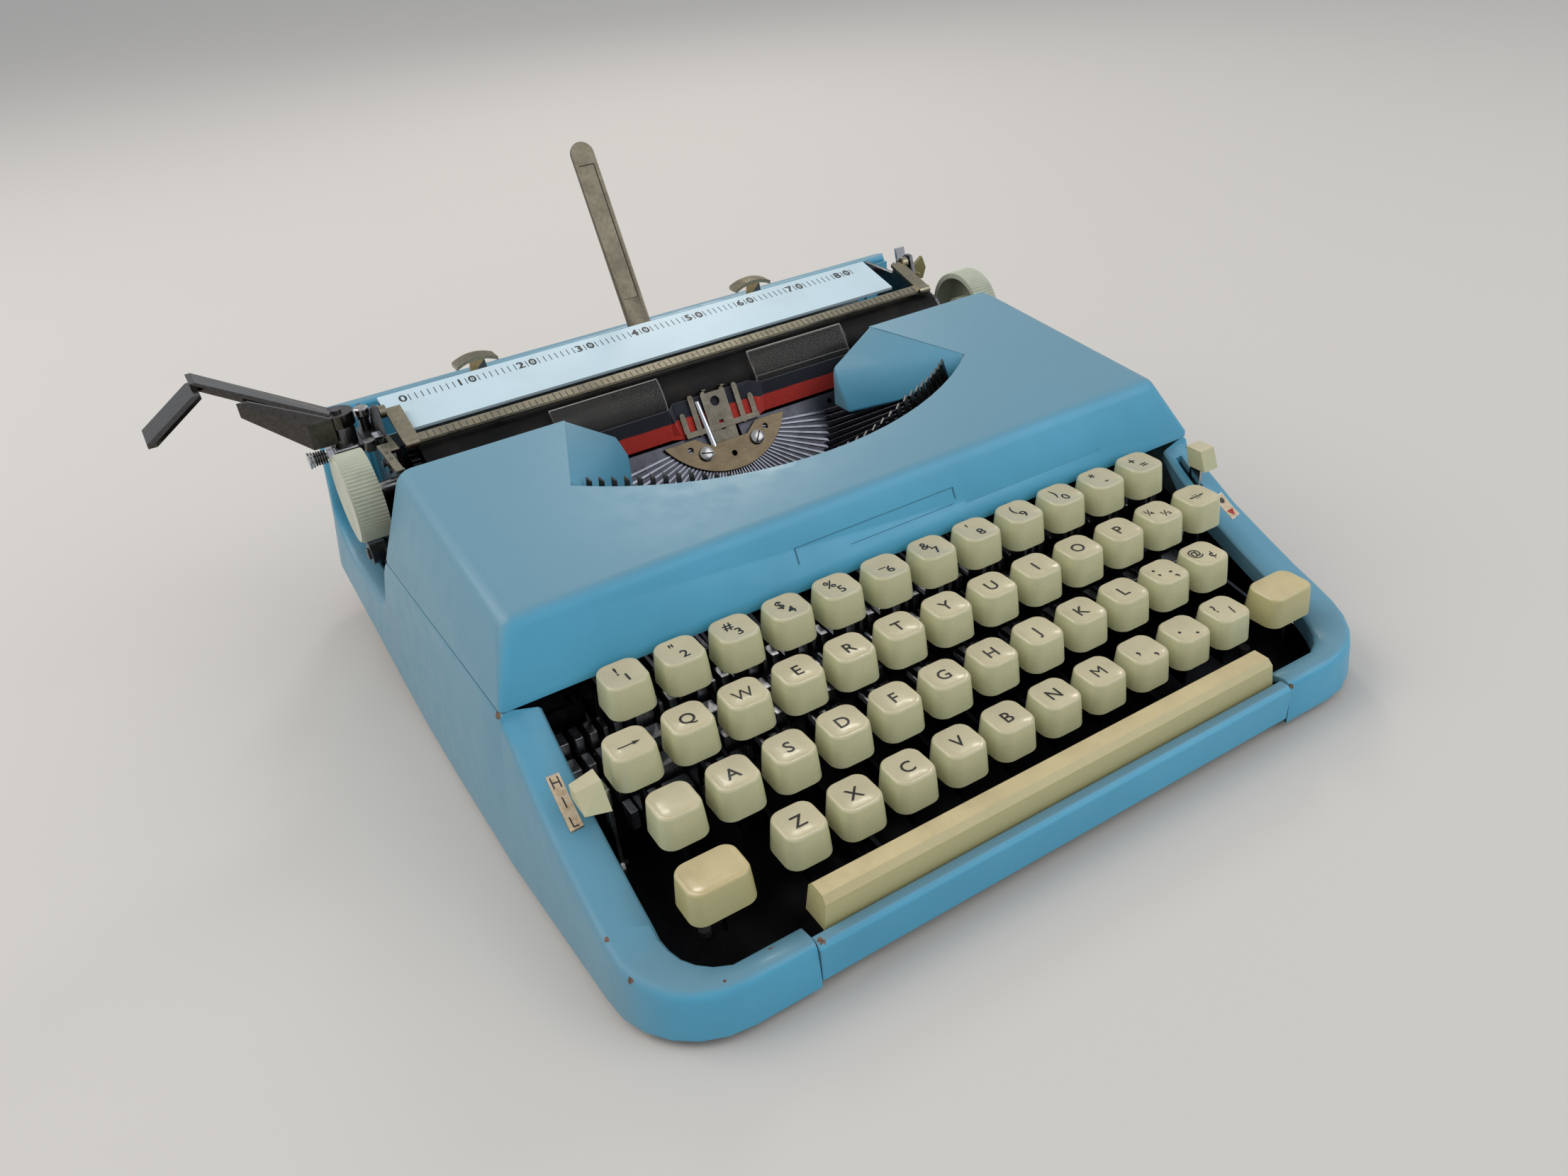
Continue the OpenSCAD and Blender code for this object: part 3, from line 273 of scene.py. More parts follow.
def plain_finishes(look):
    plain("platen_rubber", (0.008, 0.007, 0.007), 0.34, ((0.005,) * 3, (0.018, 0.014, 0.011), 18.0),
          (0.26, 0.5, 10.0), ((0.8, 4.0), 0.02, 0.4), spec=0.12)
    plain("foot_rubber", (0.02,) * 3, 0.7, relief=((0.7, 4.0), 0.05, 0.5))
    plain("black_lacquer", (0.010, 0.010, 0.012), 0.25, gloss=(0.18, 0.4, 6.0), coat=0.3)
    plain("ink", (0.012,) * 3, 0.45, gloss=(0.4, 0.5, 2.0))
    plain("red_ink", srgb(170, 30, 24), 0.45, gloss=(0.4, 0.5, 2.0))
    plain("label_card", srgb(214, 190, 158), 0.5, (srgb(190, 162, 128), srgb(222, 204, 176), 3.0))
    plain("guide_rim", (0.30, 0.29, 0.27), 0.3, gloss=(0.2, 0.4, 4.0))
    # A darker case blue for seam lines, and for painted shade along the front recess's edges and in the gap at the
    # rear.
    plain("case_line", scaled(look.case_colour, 0.42), 0.6, gloss=(0.5, 0.7, 3.0))
    olive, knob, table = look.olive_colour, look.knob_colour, look.table_colour
    plain("olive_plastic", olive, 0.3, (scaled(olive, 0.85), scaled(olive, 1.15), 8.0), coat=0.1)
    plain("knob_plastic", knob, 0.38, (scaled(knob, 0.86), scaled(knob, 1.05), 12.0), relief=((0.8,), 0.02, 0.4))
    plain("table_enamel", table, 0.26, (scaled(table, 0.94), scaled(table, 1.03), 30.0), (0.27, 0.32, 40.0), coat=0.2)


def ribbon_cloth():
    """Black upper half and red lower half, split at the band's middle height."""
    f = Finish("ribbon_cloth", (0.3, 0.02, 0.01), 0.75)
    middle, blend = 0.0715, 0.0004
    split = f.math("DIVIDE", f.math("SUBTRACT", f.axis(f.coord, "Z"), middle), blend)
    wavy = f.wobble(split, 9.0, 3.0, 0.5, 2.0)
    weave = f.noise(0.5, 3.0, 0.7)
    red = f.ramp(weave, [(0.3, srgb(182, 38, 30)), (0.7, srgb(222, 60, 44))])
    black = f.ramp(weave, [(0.3, srgb(16, 19, 30)), (0.7, srgb(34, 38, 52))])
    f.set("Base Color", f.mix(f.ramp(wavy, [(0.0, BLACK), (1.0, WHITE)]), red, black))
    f.set("Sheen Weight", 0.2)
    f.bump(weave, 0.05, 0.6)


def clear_plastic():
    f = Finish("clear_plastic", (0.90, 0.88, 0.84), 0.05, spec=0.25)
    f.set("Transmission Weight", 0.98)
    f.set("IOR", 1.12)
    f.uneven_gloss(0.03, 0.10, 6.0)


def make_finishes(look):
    case_paint(look.case_colour)
    cap_plastic("key_plastic", look.key_colour, 0.28, 0.15, 0.92, 14.0, (1.00, 1.12, 1.06), (0.22, 0.36))
    aged = tuple(a * b for a, b in zip(look.key_colour, (1.0, 0.93, 0.76)))
    cap_plastic("aged_key_plastic", aged, 0.30, 0.12, 0.90, 12.0, (0.92, 1.02, 0.95), (0.20, 0.34))
    metals()
    plain_finishes(look)
    ribbon_cloth()
    clear_plastic()


# --- mesh tools

# Points closer than this, in millimetres, are one; faces within this many degrees are one flat face.
DOUBLES = 0.004
FLAT = 0.8
# A height from which any point of the machine's top can be reached straight down.
ABOVE = 150.0
HERE = Matrix.Identity(4)
ALONG_X, UP = (1, 0, 0), (0, 0, 1)


def moved(x, y, z=0.0):
    return Matrix.Translation((x, y, z))


def turned_by(degrees, axis):
    return Matrix.Rotation(math.radians(degrees), 4, axis)


def stretched(x, y, z=1.0):
    return Matrix.Diagonal((x, y, z, 1))


def put(verts, bm, place):
    """Moves points of a bmesh from the drawing's origin to a place."""
    bmesh.ops.transform(bm, matrix=place, verts=verts)


def mesh_of(bm, name):
    """Turns a bmesh into a mesh and frees it."""
    mesh = bpy.data.meshes.new(name)
    bm.to_mesh(mesh)
    bm.free()
    return mesh


def in_scene(name, data):
    """A new object in the scene."""
    obj = bpy.data.objects.new(name, data)
    bpy.context.collection.objects.link(obj)
    return obj


def new_piece(bm, name, body, mats, replaces=(), angle=32.0, bevel=0.0, segments=2):
    """Turns a bmesh drawn in millimetres into a finished piece on its body."""
    put(bm.verts, bm, INTO_FRAME)
    mesh = mesh_of(bm, name)
    for p in mesh.polygons:
        p.use_smooth = True
    mesh.set_sharp_from_angle(angle=math.radians(angle))
    for m in mats if isinstance(mats, (list, tuple)) else [mats]:
        mesh.materials.append(FINISH[m])
    obj = in_scene(name, mesh)
    if bevel:
        mod = obj.modifiers.new("soft_edges", "BEVEL")
        mod.width = bevel * MM
        mod.segments = segments
        mod.limit_method = "ANGLE"
        mod.angle_limit = math.radians(angle)
        mod.use_clamp_overlap = True
        mod.harden_normals = True
    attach(obj, body)
    if replaces:
        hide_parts(*replaces)
    return obj


def node_bmesh(node):
    """The CAD solid as a clean bmesh in millimetres, with its doubles merged."""
    bm = bmesh.new()
    bm.from_mesh(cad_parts[node].data)
    put(bm.verts, bm, OUT_OF_FRAME)
    bmesh.ops.remove_doubles(bm, verts=bm.verts, dist=DOUBLES)
    bmesh.ops.dissolve_degenerate(bm, edges=bm.edges, dist=DOUBLES / 2)
    return bm


def join_faces(bm, angle):
    """Joins neighbouring faces that lie within an angle of each other."""
    bmesh.ops.dissolve_limit(bm, angle_limit=math.radians(angle), verts=bm.verts, edges=bm.edges)


def dressed(node, body, mats, bevel, angle=32.0, pick=None, flatten=True):
    """A finished copy of a CAD solid, with soft edges; pick gives a face its finish."""
    bm = node_bmesh(node)
    if flatten:
        join_faces(bm, FLAT)
    bm.normal_update()
    if pick:
        for face in bm.faces:
            face.material_index = pick(face.calc_center_median(), face.normal)
    new_piece(bm, node + "_dressed", body, mats, (node,), angle, bevel)


def block(bm, x0, x1, y0, y1, z0, z1, mat=0):
    made = bmesh.ops.create_cube(bm, size=1.0)["verts"]
    fit = moved((x0 + x1) / 2, (y0 + y1) / 2, (z0 + z1) / 2) @ stretched(x1 - x0, y1 - y0, z1 - z0)
    put(made, bm, fit)
    paint(made, mat)
    return made


def sheet(bm, x0, x1, y0, y1, columns, rows, place=HERE, mat=0):
    """A flat sheet drawn in plan, divided so that it can follow a curved surface."""
    made = bmesh.ops.create_grid(bm, x_segments=columns, y_segments=rows, size=0.5)["verts"]
    put(made, bm, place @ moved((x0 + x1) / 2, (y0 + y1) / 2) @ stretched(x1 - x0, y1 - y0))
    paint(made, mat)
    return made


def paint(verts, mat):
    inside = set(verts)
    for v in verts:
        for face in v.link_faces:
            if all(w in inside for w in face.verts):
                face.material_index = mat


def turned(bm, x, y, z, axis, r, length, mat=0, segments=32, r2=None):
    """A cylinder or cone along an axis, its start at the point."""
    made = bmesh.ops.create_cone(bm, cap_ends=True, segments=segments, radius1=r,
                                 radius2=r if r2 is None else r2, depth=length)["verts"]
    aim = Vector((0, 0, 1)).rotation_difference(Vector(axis)).to_matrix().to_4x4()
    put(made, bm, moved(x, y, z) @ aim @ moved(0, 0, length / 2))
    paint(made, mat)
    return made


def lettering(text, size, thin=0.0):
    """Flat letters about their own middle, in millimetres, as a bmesh."""
    curve = bpy.data.curves.new("lettering", "FONT")
    curve.body = text
    curve.size = size
    curve.align_x = "CENTER"
    curve.align_y = "CENTER"
    curve.offset = -thin
    curve.resolution_u = 3
    obj = in_scene("lettering", curve)
    bpy.context.view_layer.update()
    mesh = bpy.data.meshes.new_from_object(obj)
    bm = bmesh.new()
    bm.from_mesh(mesh)
    bpy.data.objects.remove(obj)
    bpy.data.curves.remove(curve)
    bpy.data.meshes.remove(mesh)
    return bm


def add_bmesh(bm, other, mat, place=HERE):
    """Joins another bmesh into bm at a place, with one finish."""
    put(other.verts, other, place)
    for face in other.faces:
        face.material_index = mat
    mesh = mesh_of(other, "joined")
    bm.from_mesh(mesh)
    bpy.data.meshes.remove(mesh)


def cut_away(bm, cutter):
    """What is left of a closed shape after cutting another away from it."""
    made = [in_scene("cutting", mesh_of(part, "cutting")) for part in (bm, cutter)]
    cut = made[0].modifiers.new("cut", "BOOLEAN")
    cut.operation, cut.solver, cut.object = "DIFFERENCE", "EXACT", made[1]
    bpy.context.view_layer.update()
    shape = made[0].evaluated_get(bpy.context.evaluated_depsgraph_get())
    left = bmesh.new()
    left.from_mesh(shape.to_mesh())
    shape.to_mesh_clear()
    for obj in made:
        mesh = obj.data
        bpy.data.objects.remove(obj)
        bpy.data.meshes.remove(mesh)
    return left


def wrapped(bm, points):
    """The tight closed shape around a few points."""
    made = [v for p in points for v in bmesh.ops.create_vert(bm, co=p)["vert"]]
    out = bmesh.ops.convex_hull(bm, input=made)
    loose = [g for g in out["geom_interior"] + out["geom_unused"] if isinstance(g, bmesh.types.BMVert)]
    bmesh.ops.delete(bm, geom=list(dict.fromkeys(loose)), context="VERTS")


def surface_of(node):
    """A CAD solid's surface, for laying thin marks on it."""
    bm = node_bmesh(node)
    tree = BVHTree.FromBMesh(bm)
    bm.free()
    return tree


def drape(verts, tree, lift):
    """Drops points straight down on to a surface, a little above it."""
    for v in verts:
        hit = tree.ray_cast(Vector((v.co.x, v.co.y, ABOVE)), Vector((0, 0, -1)))[0]
        if hit:
            v.co.z = hit.z + lift


def card(bm, corners, inset, mat):
    """A thin four-sided card in plan: front left, front right, rear left, rear right."""
    corners = [Vector(c) for c in corners]
    mid = sum(corners, Vector((0, 0))) / 4
    a, b, c, d = (p + (mid - p).normalized() * inset for p in corners)
    made = sheet(bm, -0.5, 0.5, -0.5, 0.5, 4, 10, mat=mat)
    for v in made:
        s, t = v.co.x + 0.5, v.co.y + 0.5
        v.co.xy = a.lerp(b, s).lerp(c.lerp(d, s), t)
    return made


# --- keys

PITCH = 19.05
# The first key's middle in each row, rear row first, and the height at which its lever meets its stem.
ROW_X = (-104.5, -112.9, -109.4, -80.5)
STEM_Z = (40.2, 33.0, 27.0, 17.2)
# The rod on which all key levers turn: y and z.
PIVOT = (150.0, 42.0)
# Sides of the square caps and of the wide shift caps.
CAP, SHIFT_CAP = 15.5, 21.0
CAP_HEIGHT = 11.0
# The steel stem ends this far below the cap's top.
STEM_TOP = 9.0
RIGHT_SHIFT_LEVER = 118.6
DISH = 0.75
# Finishes of a key piece, in the order of their numbers.
KEY_FINISHES = ["key_plastic", "lever_steel", "ink"]
LEVER, INK = 1, 2

LEGENDS = (
    (("!", "1"), ('"', "2"), ("#", "3"), ("$", "4"), ("%", "5"), ("_", "6"), ("&", "7"), ("'", "8"),
     ("(", "9"), (")", "0"), ("*", "-"), ("+", "=")),
    (None, *"QWERTYUIOP", ("¼", "½"), None),
    (None, *"ASDFGHJKL", (":", ";"), ("@", "¢")),
    (*"ZXCVBNM", (",", ","), (".", "."), ("?", "/")),
)


def row_y(i):
    return 29.2 + 18.8 * (3 - i)


def row_z(i):
    return 35.4 + 9.6 * (3 - i)


def lever_z(i, y):
    """The middle height of a row's levers at some depth."""
    return PIVOT[1] - (PIVOT[1] - STEM_Z[i]) * (PIVOT[0] - y) / (PIVOT[0] - row_y(i))


def cap_shape(bm, x, y, z, w):
    """A square cap with round corners, flared walls, a fine rim and a dished top."""
    shoulder, waist = 0.9, 5.5
    block(bm, x - w / 2, x + w / 2, y - CAP / 2, y + CAP / 2, z - CAP_HEIGHT, z - shoulder)
    posts = [e for e in bm.edges if abs(e.verts[0].co.z - e.verts[1].co.z) > CAP_HEIGHT / 2]
    bmesh.ops.bevel(bm, geom=posts, offset=4.4, offset_type="OFFSET", segments=6, profile=0.5,
                    affect="EDGES", clamp_overlap=True, material=-1)
    bmesh.ops.bisect_plane(bm, geom=bm.verts[:] + bm.edges[:] + bm.faces[:], dist=0.001,
                           plane_co=(0, 0, z - waist), plane_no=(0, 0, 1))
    bm.normal_update()

    def draw_in(verts, by):
        put(verts, bm, moved(x, y) @ stretched((w - by) / w, (CAP - by) / CAP) @ moved(-x, -y))

    draw_in([v for v in bm.verts if abs(v.co.z - z + waist) < 0.1], 0.7)
    draw_in([v for v in bm.verts if v.co.z > z - 1], 1.5)
    top = max(bm.faces, key=lambda f: f.calc_center_median().z)
    span = w - 1.5
    # Each step narrows the top face by so much and lifts it: round edge, fine rim, then the dish.
    for narrower, lift in ((0.15, 0.35), (0.4, 0.35), (0.6, 0.2), (0.5, 0.0), (0.9, -0.25 * DISH),
                           (2.4, -0.40 * DISH), (3.0, -0.25 * DISH), (2.8, -0.10 * DISH)):
        top = bmesh.ops.extrude_discrete_faces(bm, faces=[top])["faces"][0]
        fit = stretched((span - narrower) / span, (span - narrower) / span)
        put(list(top.verts), bm, moved(x, y, lift) @ fit @ moved(-x, -y))
        span -= narrower


def arrow_head(bm, tip, way, length, half):
    """A narrow arrow head lying along x."""
    # A triangle in a unit circle is 1.5 long and 0.866 to either side.
    made = bmesh.ops.create_circle(bm, cap_ends=True, segments=3, radius=1.0)["verts"]
    fit = stretched(length / 1.5, half / 0.866) @ turned_by(-90, "Z")
    place = moved(tip - way * length / 1.5, 0) @ turned_by(0 if way > 0 else 180, "Z")
    put(made, bm, place @ fit)


def legend_marks(legend):
    """The flat marks of a key top about its middle: a letter, two signs or an arrow."""
    marks = bmesh.new()
    if legend == "back":
        sheet(marks, -3.5, 2.2, -0.22, 0.22, 6, 6)
        arrow_head(marks, 3.6, 1, 2.4, 0.80)
    elif legend == "release":
        sheet(marks, -3.4, 3.4, -0.18, 0.18, 6, 6)
        for side in (-1, 1):
            sheet(marks, side * 0.65 - 0.15, side * 0.65 + 0.15, -1.5, 1.5, 6, 6)
            arrow_head(marks, side * 3.6, side, 1.8, 0.55)
    elif isinstance(legend, str):
        add_bmesh(marks, lettering(legend, 6.6, 0.03 if legend in "MW" else -0.05), 0)
    elif legend:
        # Figures sit close together, signs further apart.
        wide = legend[0] in ",.:?@¼"
        places = ((-2.3, 1.9), (2.2, -1.7)) if wide else ((-1.1, 2.3), (0.9, -1.9))
        for text, (x, y) in zip(legend, places):
            size = 8.6 if text in ",.:;" else 4.6 if text in "¼½" else 5.4
            add_bmesh(marks, lettering(text, size, -0.06), 0, moved(x, y))
    return marks


def cap_with_legend(bm, x, y, z, legend=None, w=CAP, mat=0):
    part = bmesh.new()
    cap_shape(part, x, y, z, w)
    part.normal_update()
    marks = legend_marks(legend)
    put(marks.verts, marks, moved(x, y, z))
    drape(marks.verts, BVHTree.FromBMesh(part), 0.09)
    marks.normal_update()
    bmesh.ops.reverse_faces(marks, faces=[face for face in marks.faces if face.normal.z < 0])
    add_bmesh(bm, marks, INK)
    add_bmesh(bm, part, mat)


def lever_shape(bm, i, x, y, top):
    """A straight flat bar with its stem and its eye on the pivot rod."""
    half_thick, half_high, half_stem = 0.65, 3, 0.6
    made = block(bm, x - half_thick, x + half_thick, y - 3, PIVOT[0], 0, 1, LEVER)
    for v in made:
        mid = lever_z(i, v.co.y)
        v.co.z = mid + (half_high if v.co.z > 0.5 else -half_high)
    block(bm, x - half_stem, x + half_stem, y - 3, y + 3, lever_z(i, y) + 1, top, LEVER)
    turned(bm, x - half_thick, *PIVOT, ALONG_X, 4.2, 2 * half_thick, LEVER, 24)


def add_key(bm, i, k, legend):
    """The cap and the lever of key k of row i."""
    x = ROW_X[i] + PITCH * k
    cap_with_legend(bm, x, row_y(i), row_z(i), legend)
    lever_shape(bm, i, x, row_y(i), row_z(i) - STEM_TOP)


def lever_lanes():
    """Every x at which a key lever runs, from left to right."""
    lanes = [ROW_X[i] + PITCH * k for i, legends in enumerate(LEGENDS) for k in range(len(legends))]
    return sorted(lanes + [RIGHT_SHIFT_LEVER])


def make_lever_guides():
    """Worn steel blocks in steps between the levers, at the rear of the key well."""
    bm = bmesh.new()
    lanes = [-127.6, -122.4, -117.6] + lever_lanes() + [123.6]
    # No block fits a narrower gap, and the lowest step ends short of the left wall.
    narrowest, wall = 2.8, -122
    for a, b in zip(lanes, lanes[1:]):
        for step in range(4):
            if b - a > narrowest and not (step == 3 and a < wall):
                y, z = 91.0 - 8.2 * step, 43.0 - 4.6 * step
                block(bm, a + 1.0, b - 1.0, y, y + 6.4, z - 7, z)
    new_piece(bm, "lever_guides", "machine_frame", "worn_steel", bevel=0.3)


def make_keys():
    keys = [(i, k, legend) for i, legends in enumerate(LEGENDS) for k, legend in enumerate(legends)]
    for i, k, legend in keys:
        if isinstance(legend, str):
            bm = bmesh.new()
            add_key(bm, i, k, legend)
            node = "key_" + legend.lower()
            new_piece(bm, "cap_" + legend.lower(), node, KEY_FINISHES, (node,))
    bm = bmesh.new()
    for i, k, legend in keys:
        if isinstance(legend, tuple):
            add_key(bm, i, k, legend)
    new_piece(bm, "figure_caps", "figure_keys", KEY_FINISHES, ("figure_keys",))
    for node, k, legend in (("backspace_key", 0, "back"), ("margin_release_key", 12, "release")):
        bm = bmesh.new()
        add_key(bm, 1, k, legend)
        new_piece(bm, node + "_cap", node, KEY_FINISHES, (node,))
    make_shift_keys()


def make_shift_keys():
    """Both shift caps and the lock, their two levers, and the rod that joins the levers."""
    bm = bmesh.new()
    y, lock_x, lock_y = row_y(3) - 2, ROW_X[2], row_y(2)
    for x in (-109.6, 116.6):
        cap_with_legend(bm, x, y, row_z(3), w=SHIFT_CAP)
    cap_with_legend(bm, lock_x, lock_y, row_z(2), mat=3)
    rod_y, rod_z = 134, 30.6
    for x in (lock_x, RIGHT_SHIFT_LEVER):
        lever_shape(bm, 3, x, y, row_z(3) - STEM_TOP)
        block(bm, x - 0.65, x + 0.65, rod_y - 3, rod_y + 3, rod_z - 3, lever_z(3, rod_y), LEVER)
    block(bm, lock_x - 0.6, lock_x + 0.6, lock_y - 3, lock_y + 3, lever_z(3, lock_y), row_z(2) - STEM_TOP, LEVER)
    turned(bm, lock_x, rod_y, rod_z, ALONG_X, 2.0, RIGHT_SHIFT_LEVER - lock_x, LEVER, 20)
    new_piece(bm, "shift_caps", "shift_keys", ["aged_key_plastic", "lever_steel", "ink", "key_plastic"],
              ("shift_keys",))


def make_space_bar():
    dressed("space_bar", "space_bar", ["aged_key_plastic", "lever_steel"], 0.9, 40,
            lambda c, n: 0 if c.z > 16.55 and c.y < 17 else 1)


# --- case and fixed parts


def make_case():
    dressed("lower_shell", "machine_frame", "case_paint", 0.4, 40, flatten=False)
    dressed("front_panel", "machine_frame", "case_paint", 0.5, 40)
    make_cover()
    make_case_lines()
    dressed("base_plate", "machine_frame", ["underside_steel", "black_steel"], 0.2,
            pick=lambda c, n: int(n.z > 0.5))
    dressed("rubber_feet", "machine_frame", "foot_rubber", 0.5)


# One side of the opening: the crease's rear and front ends, then the sloping panel's inner corners.
CREASE = ((68.2, 204.0, 92.17), (84.5, 161.4, 88.53))
INNER = ((49.4, 204.0, 79.6), (47.6, 199.0, 73.2))
# The panel's hidden points: along its foot and its rear, and just under the cover's top.
BACKING = ((49.6, 193.6, 62.0), (62.8, 180.2, 67.0), (84.4, 161.4, 80.0), (49.4, 204.0, 62.0), (69.5, 204.0, 80.0),
           (87.2, 163.6, 88.70), (72.6, 204.0, 92.15))


def make_cover():
    """The cover, with a panel on each side that slopes from the top down into the type opening."""
    cutter = bmesh.new()
    plan = ((84.6, 161.4), (60.0, 150.0), (14.0, 150.0), (14.0, 230.0), (58.3, 230.0))
    for side in (-1, 1):
        wrapped(cutter, [(side * x, y, z) for x, y in plan for z in (50.0, 112.0)])
    bm = cut_away(node_bmesh("ribbon_cover"), cutter)
    bmesh.ops.remove_doubles(bm, verts=bm.verts, dist=DOUBLES)
    join_faces(bm, FLAT)
    new_piece(bm, "ribbon_cover_dressed", "machine_frame", "case_paint", ("ribbon_cover",), 40, bevel=0.25)
    bm = bmesh.new()
    for side in (-1, 1):
        wrapped(bm, [(side * x, y, z) for x, y, z in CREASE + INNER + BACKING])
    join_faces(bm, 2.0)
    new_piece(bm, "opening_panels", "machine_frame", "case_paint", (), 42, bevel=2.2, segments=5)


def make_case_lines():
    """Painted shade as thin dark strips along the edges of the shallow recess on the front face, and the seam lines at
    the cover's foot.
    """
    tree = surface_of("ribbon_cover")
    on_face = moved(0, 98.5, 72) @ turned_by(73, "X")
    bm = bmesh.new()
    for u0, u1, v0, v1 in ((-34.4, 30.2, 4.8, 5.1), (-34.6, -34.25, -3, 5.1), (29.9, 30.3, -1, 5.1),
                           (-14, 29, -3.1, -2.85)):
        drape(sheet(bm, u0, u1, v0, v1, 24, 4, on_face), tree, 0.5)
    seam = ((139.0, 97.0), (140.42, 97.0), (142.0, 203.6), (143.8, 203.6))
    for side in (-1, 1):
        wrapped(bm, [(side * x, y, z) for x, y in seam for z in (59.5, 60.1)])
    new_piece(bm, "case_lines", "machine_frame", "case_line")


def make_rear_wall():
    """The ribbed inner wall behind the carriage, a dark strip of painted shade in the gap behind it, and on each side
    a rubber buffer and a black plate of painted shade over the channel's floor.
    """
    bm = bmesh.new()
    block(bm, -138, 138, 288.9, 289.9, 42, 83.6)
    x = -134.0
    while x < 135:
        turned(bm, x, 288.95, 42, UP, 0.9, 41, segments=10)
        x += 7.4
    new_piece(bm, "rear_inner_wall", "machine_frame", "case_paint", bevel=0.2)
    bm = bmesh.new()
    # The shade strip's rear points find no surface under them and stay at the height of the table.
    drape(sheet(bm, -134, 134, 290.625, 291.175, 40, 1), surface_of("lower_shell"), 0.06)
    new_piece(bm, "rear_gap_shade", "machine_frame", "case_line")
    bm = bmesh.new()
    y, z, floor, wall, post, middle = 247, 42.5, 24, 131.6, 136.6, 139.6
    for side in (-1, 1):
        # A black plate over the channel's floor: painted shade, darkening the channel under the knob.
        block(bm, *sorted((side * wall, side * 146.6)), 207, 290, floor, floor + 1.4)
        turned(bm, side * middle - 3.4, y, z, ALONG_X, 4.6, 6.8)
        turned(bm, side * middle - 4.4, y, z, ALONG_X, 2.4, 8.8, segments=24)
        block(bm, side * post - 1, side * post + 1, y - 7, y + 7, floor + 1.4, 45)
        block(bm, *sorted((side * wall, side * post)), y - 7, y + 7, 36, 38)
    new_piece(bm, "channel_buffers_and_shade_plates", "machine_frame", "black_lacquer", bevel=0.5)


def make_frame_parts():
    for node, finish, bevel in (("chassis", "black_steel", 0.15), ("pivot_rods", "bright_steel", 0.2),
                                ("card_guides", "clear_plastic", 0.0), ("ribbon_spools", "black_lacquer", 0.2)):
        dressed(node, "machine_frame", finish, bevel)
    dressed("ribbon", "machine_frame", "ribbon_cloth", 0.0, flatten=False)
    make_vibrator()
    make_guide_edges()


# Flat drawings stand on these two slopes; the basket's guide screws lie at a place on theirs.
ON_VIBRATOR = moved(0, 210, 59.4) @ turned_by(63, "X")
ON_BASKET = moved(0, 211, 64) @ turned_by(51, "X")
GUIDE_SCREW = (11.9, -7.2)
# The platen's axis, y and z, and the radius at which the card guides stand before it.
PLATEN_Y, PLATEN_Z = 235, 73
GUIDE_RADIUS = 17.9
# The type bars and the segment's fins fan out by this many degrees to either side.
BARS = 44
FAN = 83


def bar_turn(i):
    """The turn of a type bar about the basket's middle, in degrees."""
    return -FAN + 2 * FAN * i / (BARS - 1)


def make_vibrator():
    """The lifting plate with its prongs, its hooked ears and the bright rail beside it."""
    dressed("ribbon_vibrator", "ribbon_vibrator", "nickel", 0.25)
    bm = bmesh.new()
    for side in (-1, 1):
        prong = side * 4.3
        made = block(bm, prong - 1, prong + 1, 20.6, 22.6, 0.0, 0.9, 1)
        made += block(bm, prong - 1, prong + 1, 21.8, 22.6, 0.0, 3.0, 1)
        for u, v in ((10.2, 20.9), (15.8, 14.9), (10.2, 6.1)):
            made += turned(bm, side * u, v, 0.0, UP, 1.2, 0.9, 1, 24)
        put(made, bm, ON_VIBRATOR)
    rail = turned(bm, 0, 0, 0, (0, 1, 0), 1.5, 24, 0, 20, 1.0)
    put(rail, bm, stretched(1, 1, 0.6))
    put(rail, bm, ON_VIBRATOR @ moved(-6.6, -5.0, 2.2) @ turned_by(3.2, "Z") @ turned_by(-3.0, "X"))
    new_piece(bm, "vibrator_trim", "ribbon_vibrator", ["chrome", "nickel"], bevel=0.25)


def make_guide_edges():
    """The teeth along each card guide's lower edge, and its bright rims."""
    bm = bmesh.new()
    face = PLATEN_Y - GUIDE_RADIUS
    for side in (-1, 1):
        for k in range(22):
            x = side * (23.0 + 2.0 * k)
            block(bm, x - 0.2, x + 0.2, face - 0.5, face + 0.1, 67.4, 69.2)
    new_piece(bm, "card_guide_teeth", "machine_frame", "bright_steel")
    bm = node_bmesh("card_guides")
    join_faces(bm, 35)
    obj = new_piece(bm, "card_guide_rims", "machine_frame", "guide_rim")
    rim = obj.modifiers.new("rim", "WIREFRAME")
    rim.thickness = 0.42 * MM


def make_basket():
    dressed("segment", "type_basket", "segment_steel", 0.15)
    dressed("typebars", "type_basket", "bar_steel", 0.12)
    make_type_guide()
    make_type_slugs()
    bm = bmesh.new()
    x, y = GUIDE_SCREW
    for side in (-1, 1):
        made = turned(bm, side * x, y, 0.5, UP, 3.1, 1.3, 0, 32, 2.9)
        made += turned(bm, side * x, y, 1.75, UP, 2.9, 0.5, 0, 32, 1.7)
        put(made, bm, ON_BASKET)
        slot = block(bm, -2.5, 2.5, -0.32, 0.32, 1.9, 2.3, 1)
        put(slot, bm, ON_BASKET @ moved(side * x, y) @ turned_by(20 + 35 * side, "Z"))
    new_piece(bm, "guide_screws", "type_basket", ["bright_steel", "black_steel"], bevel=0.12)


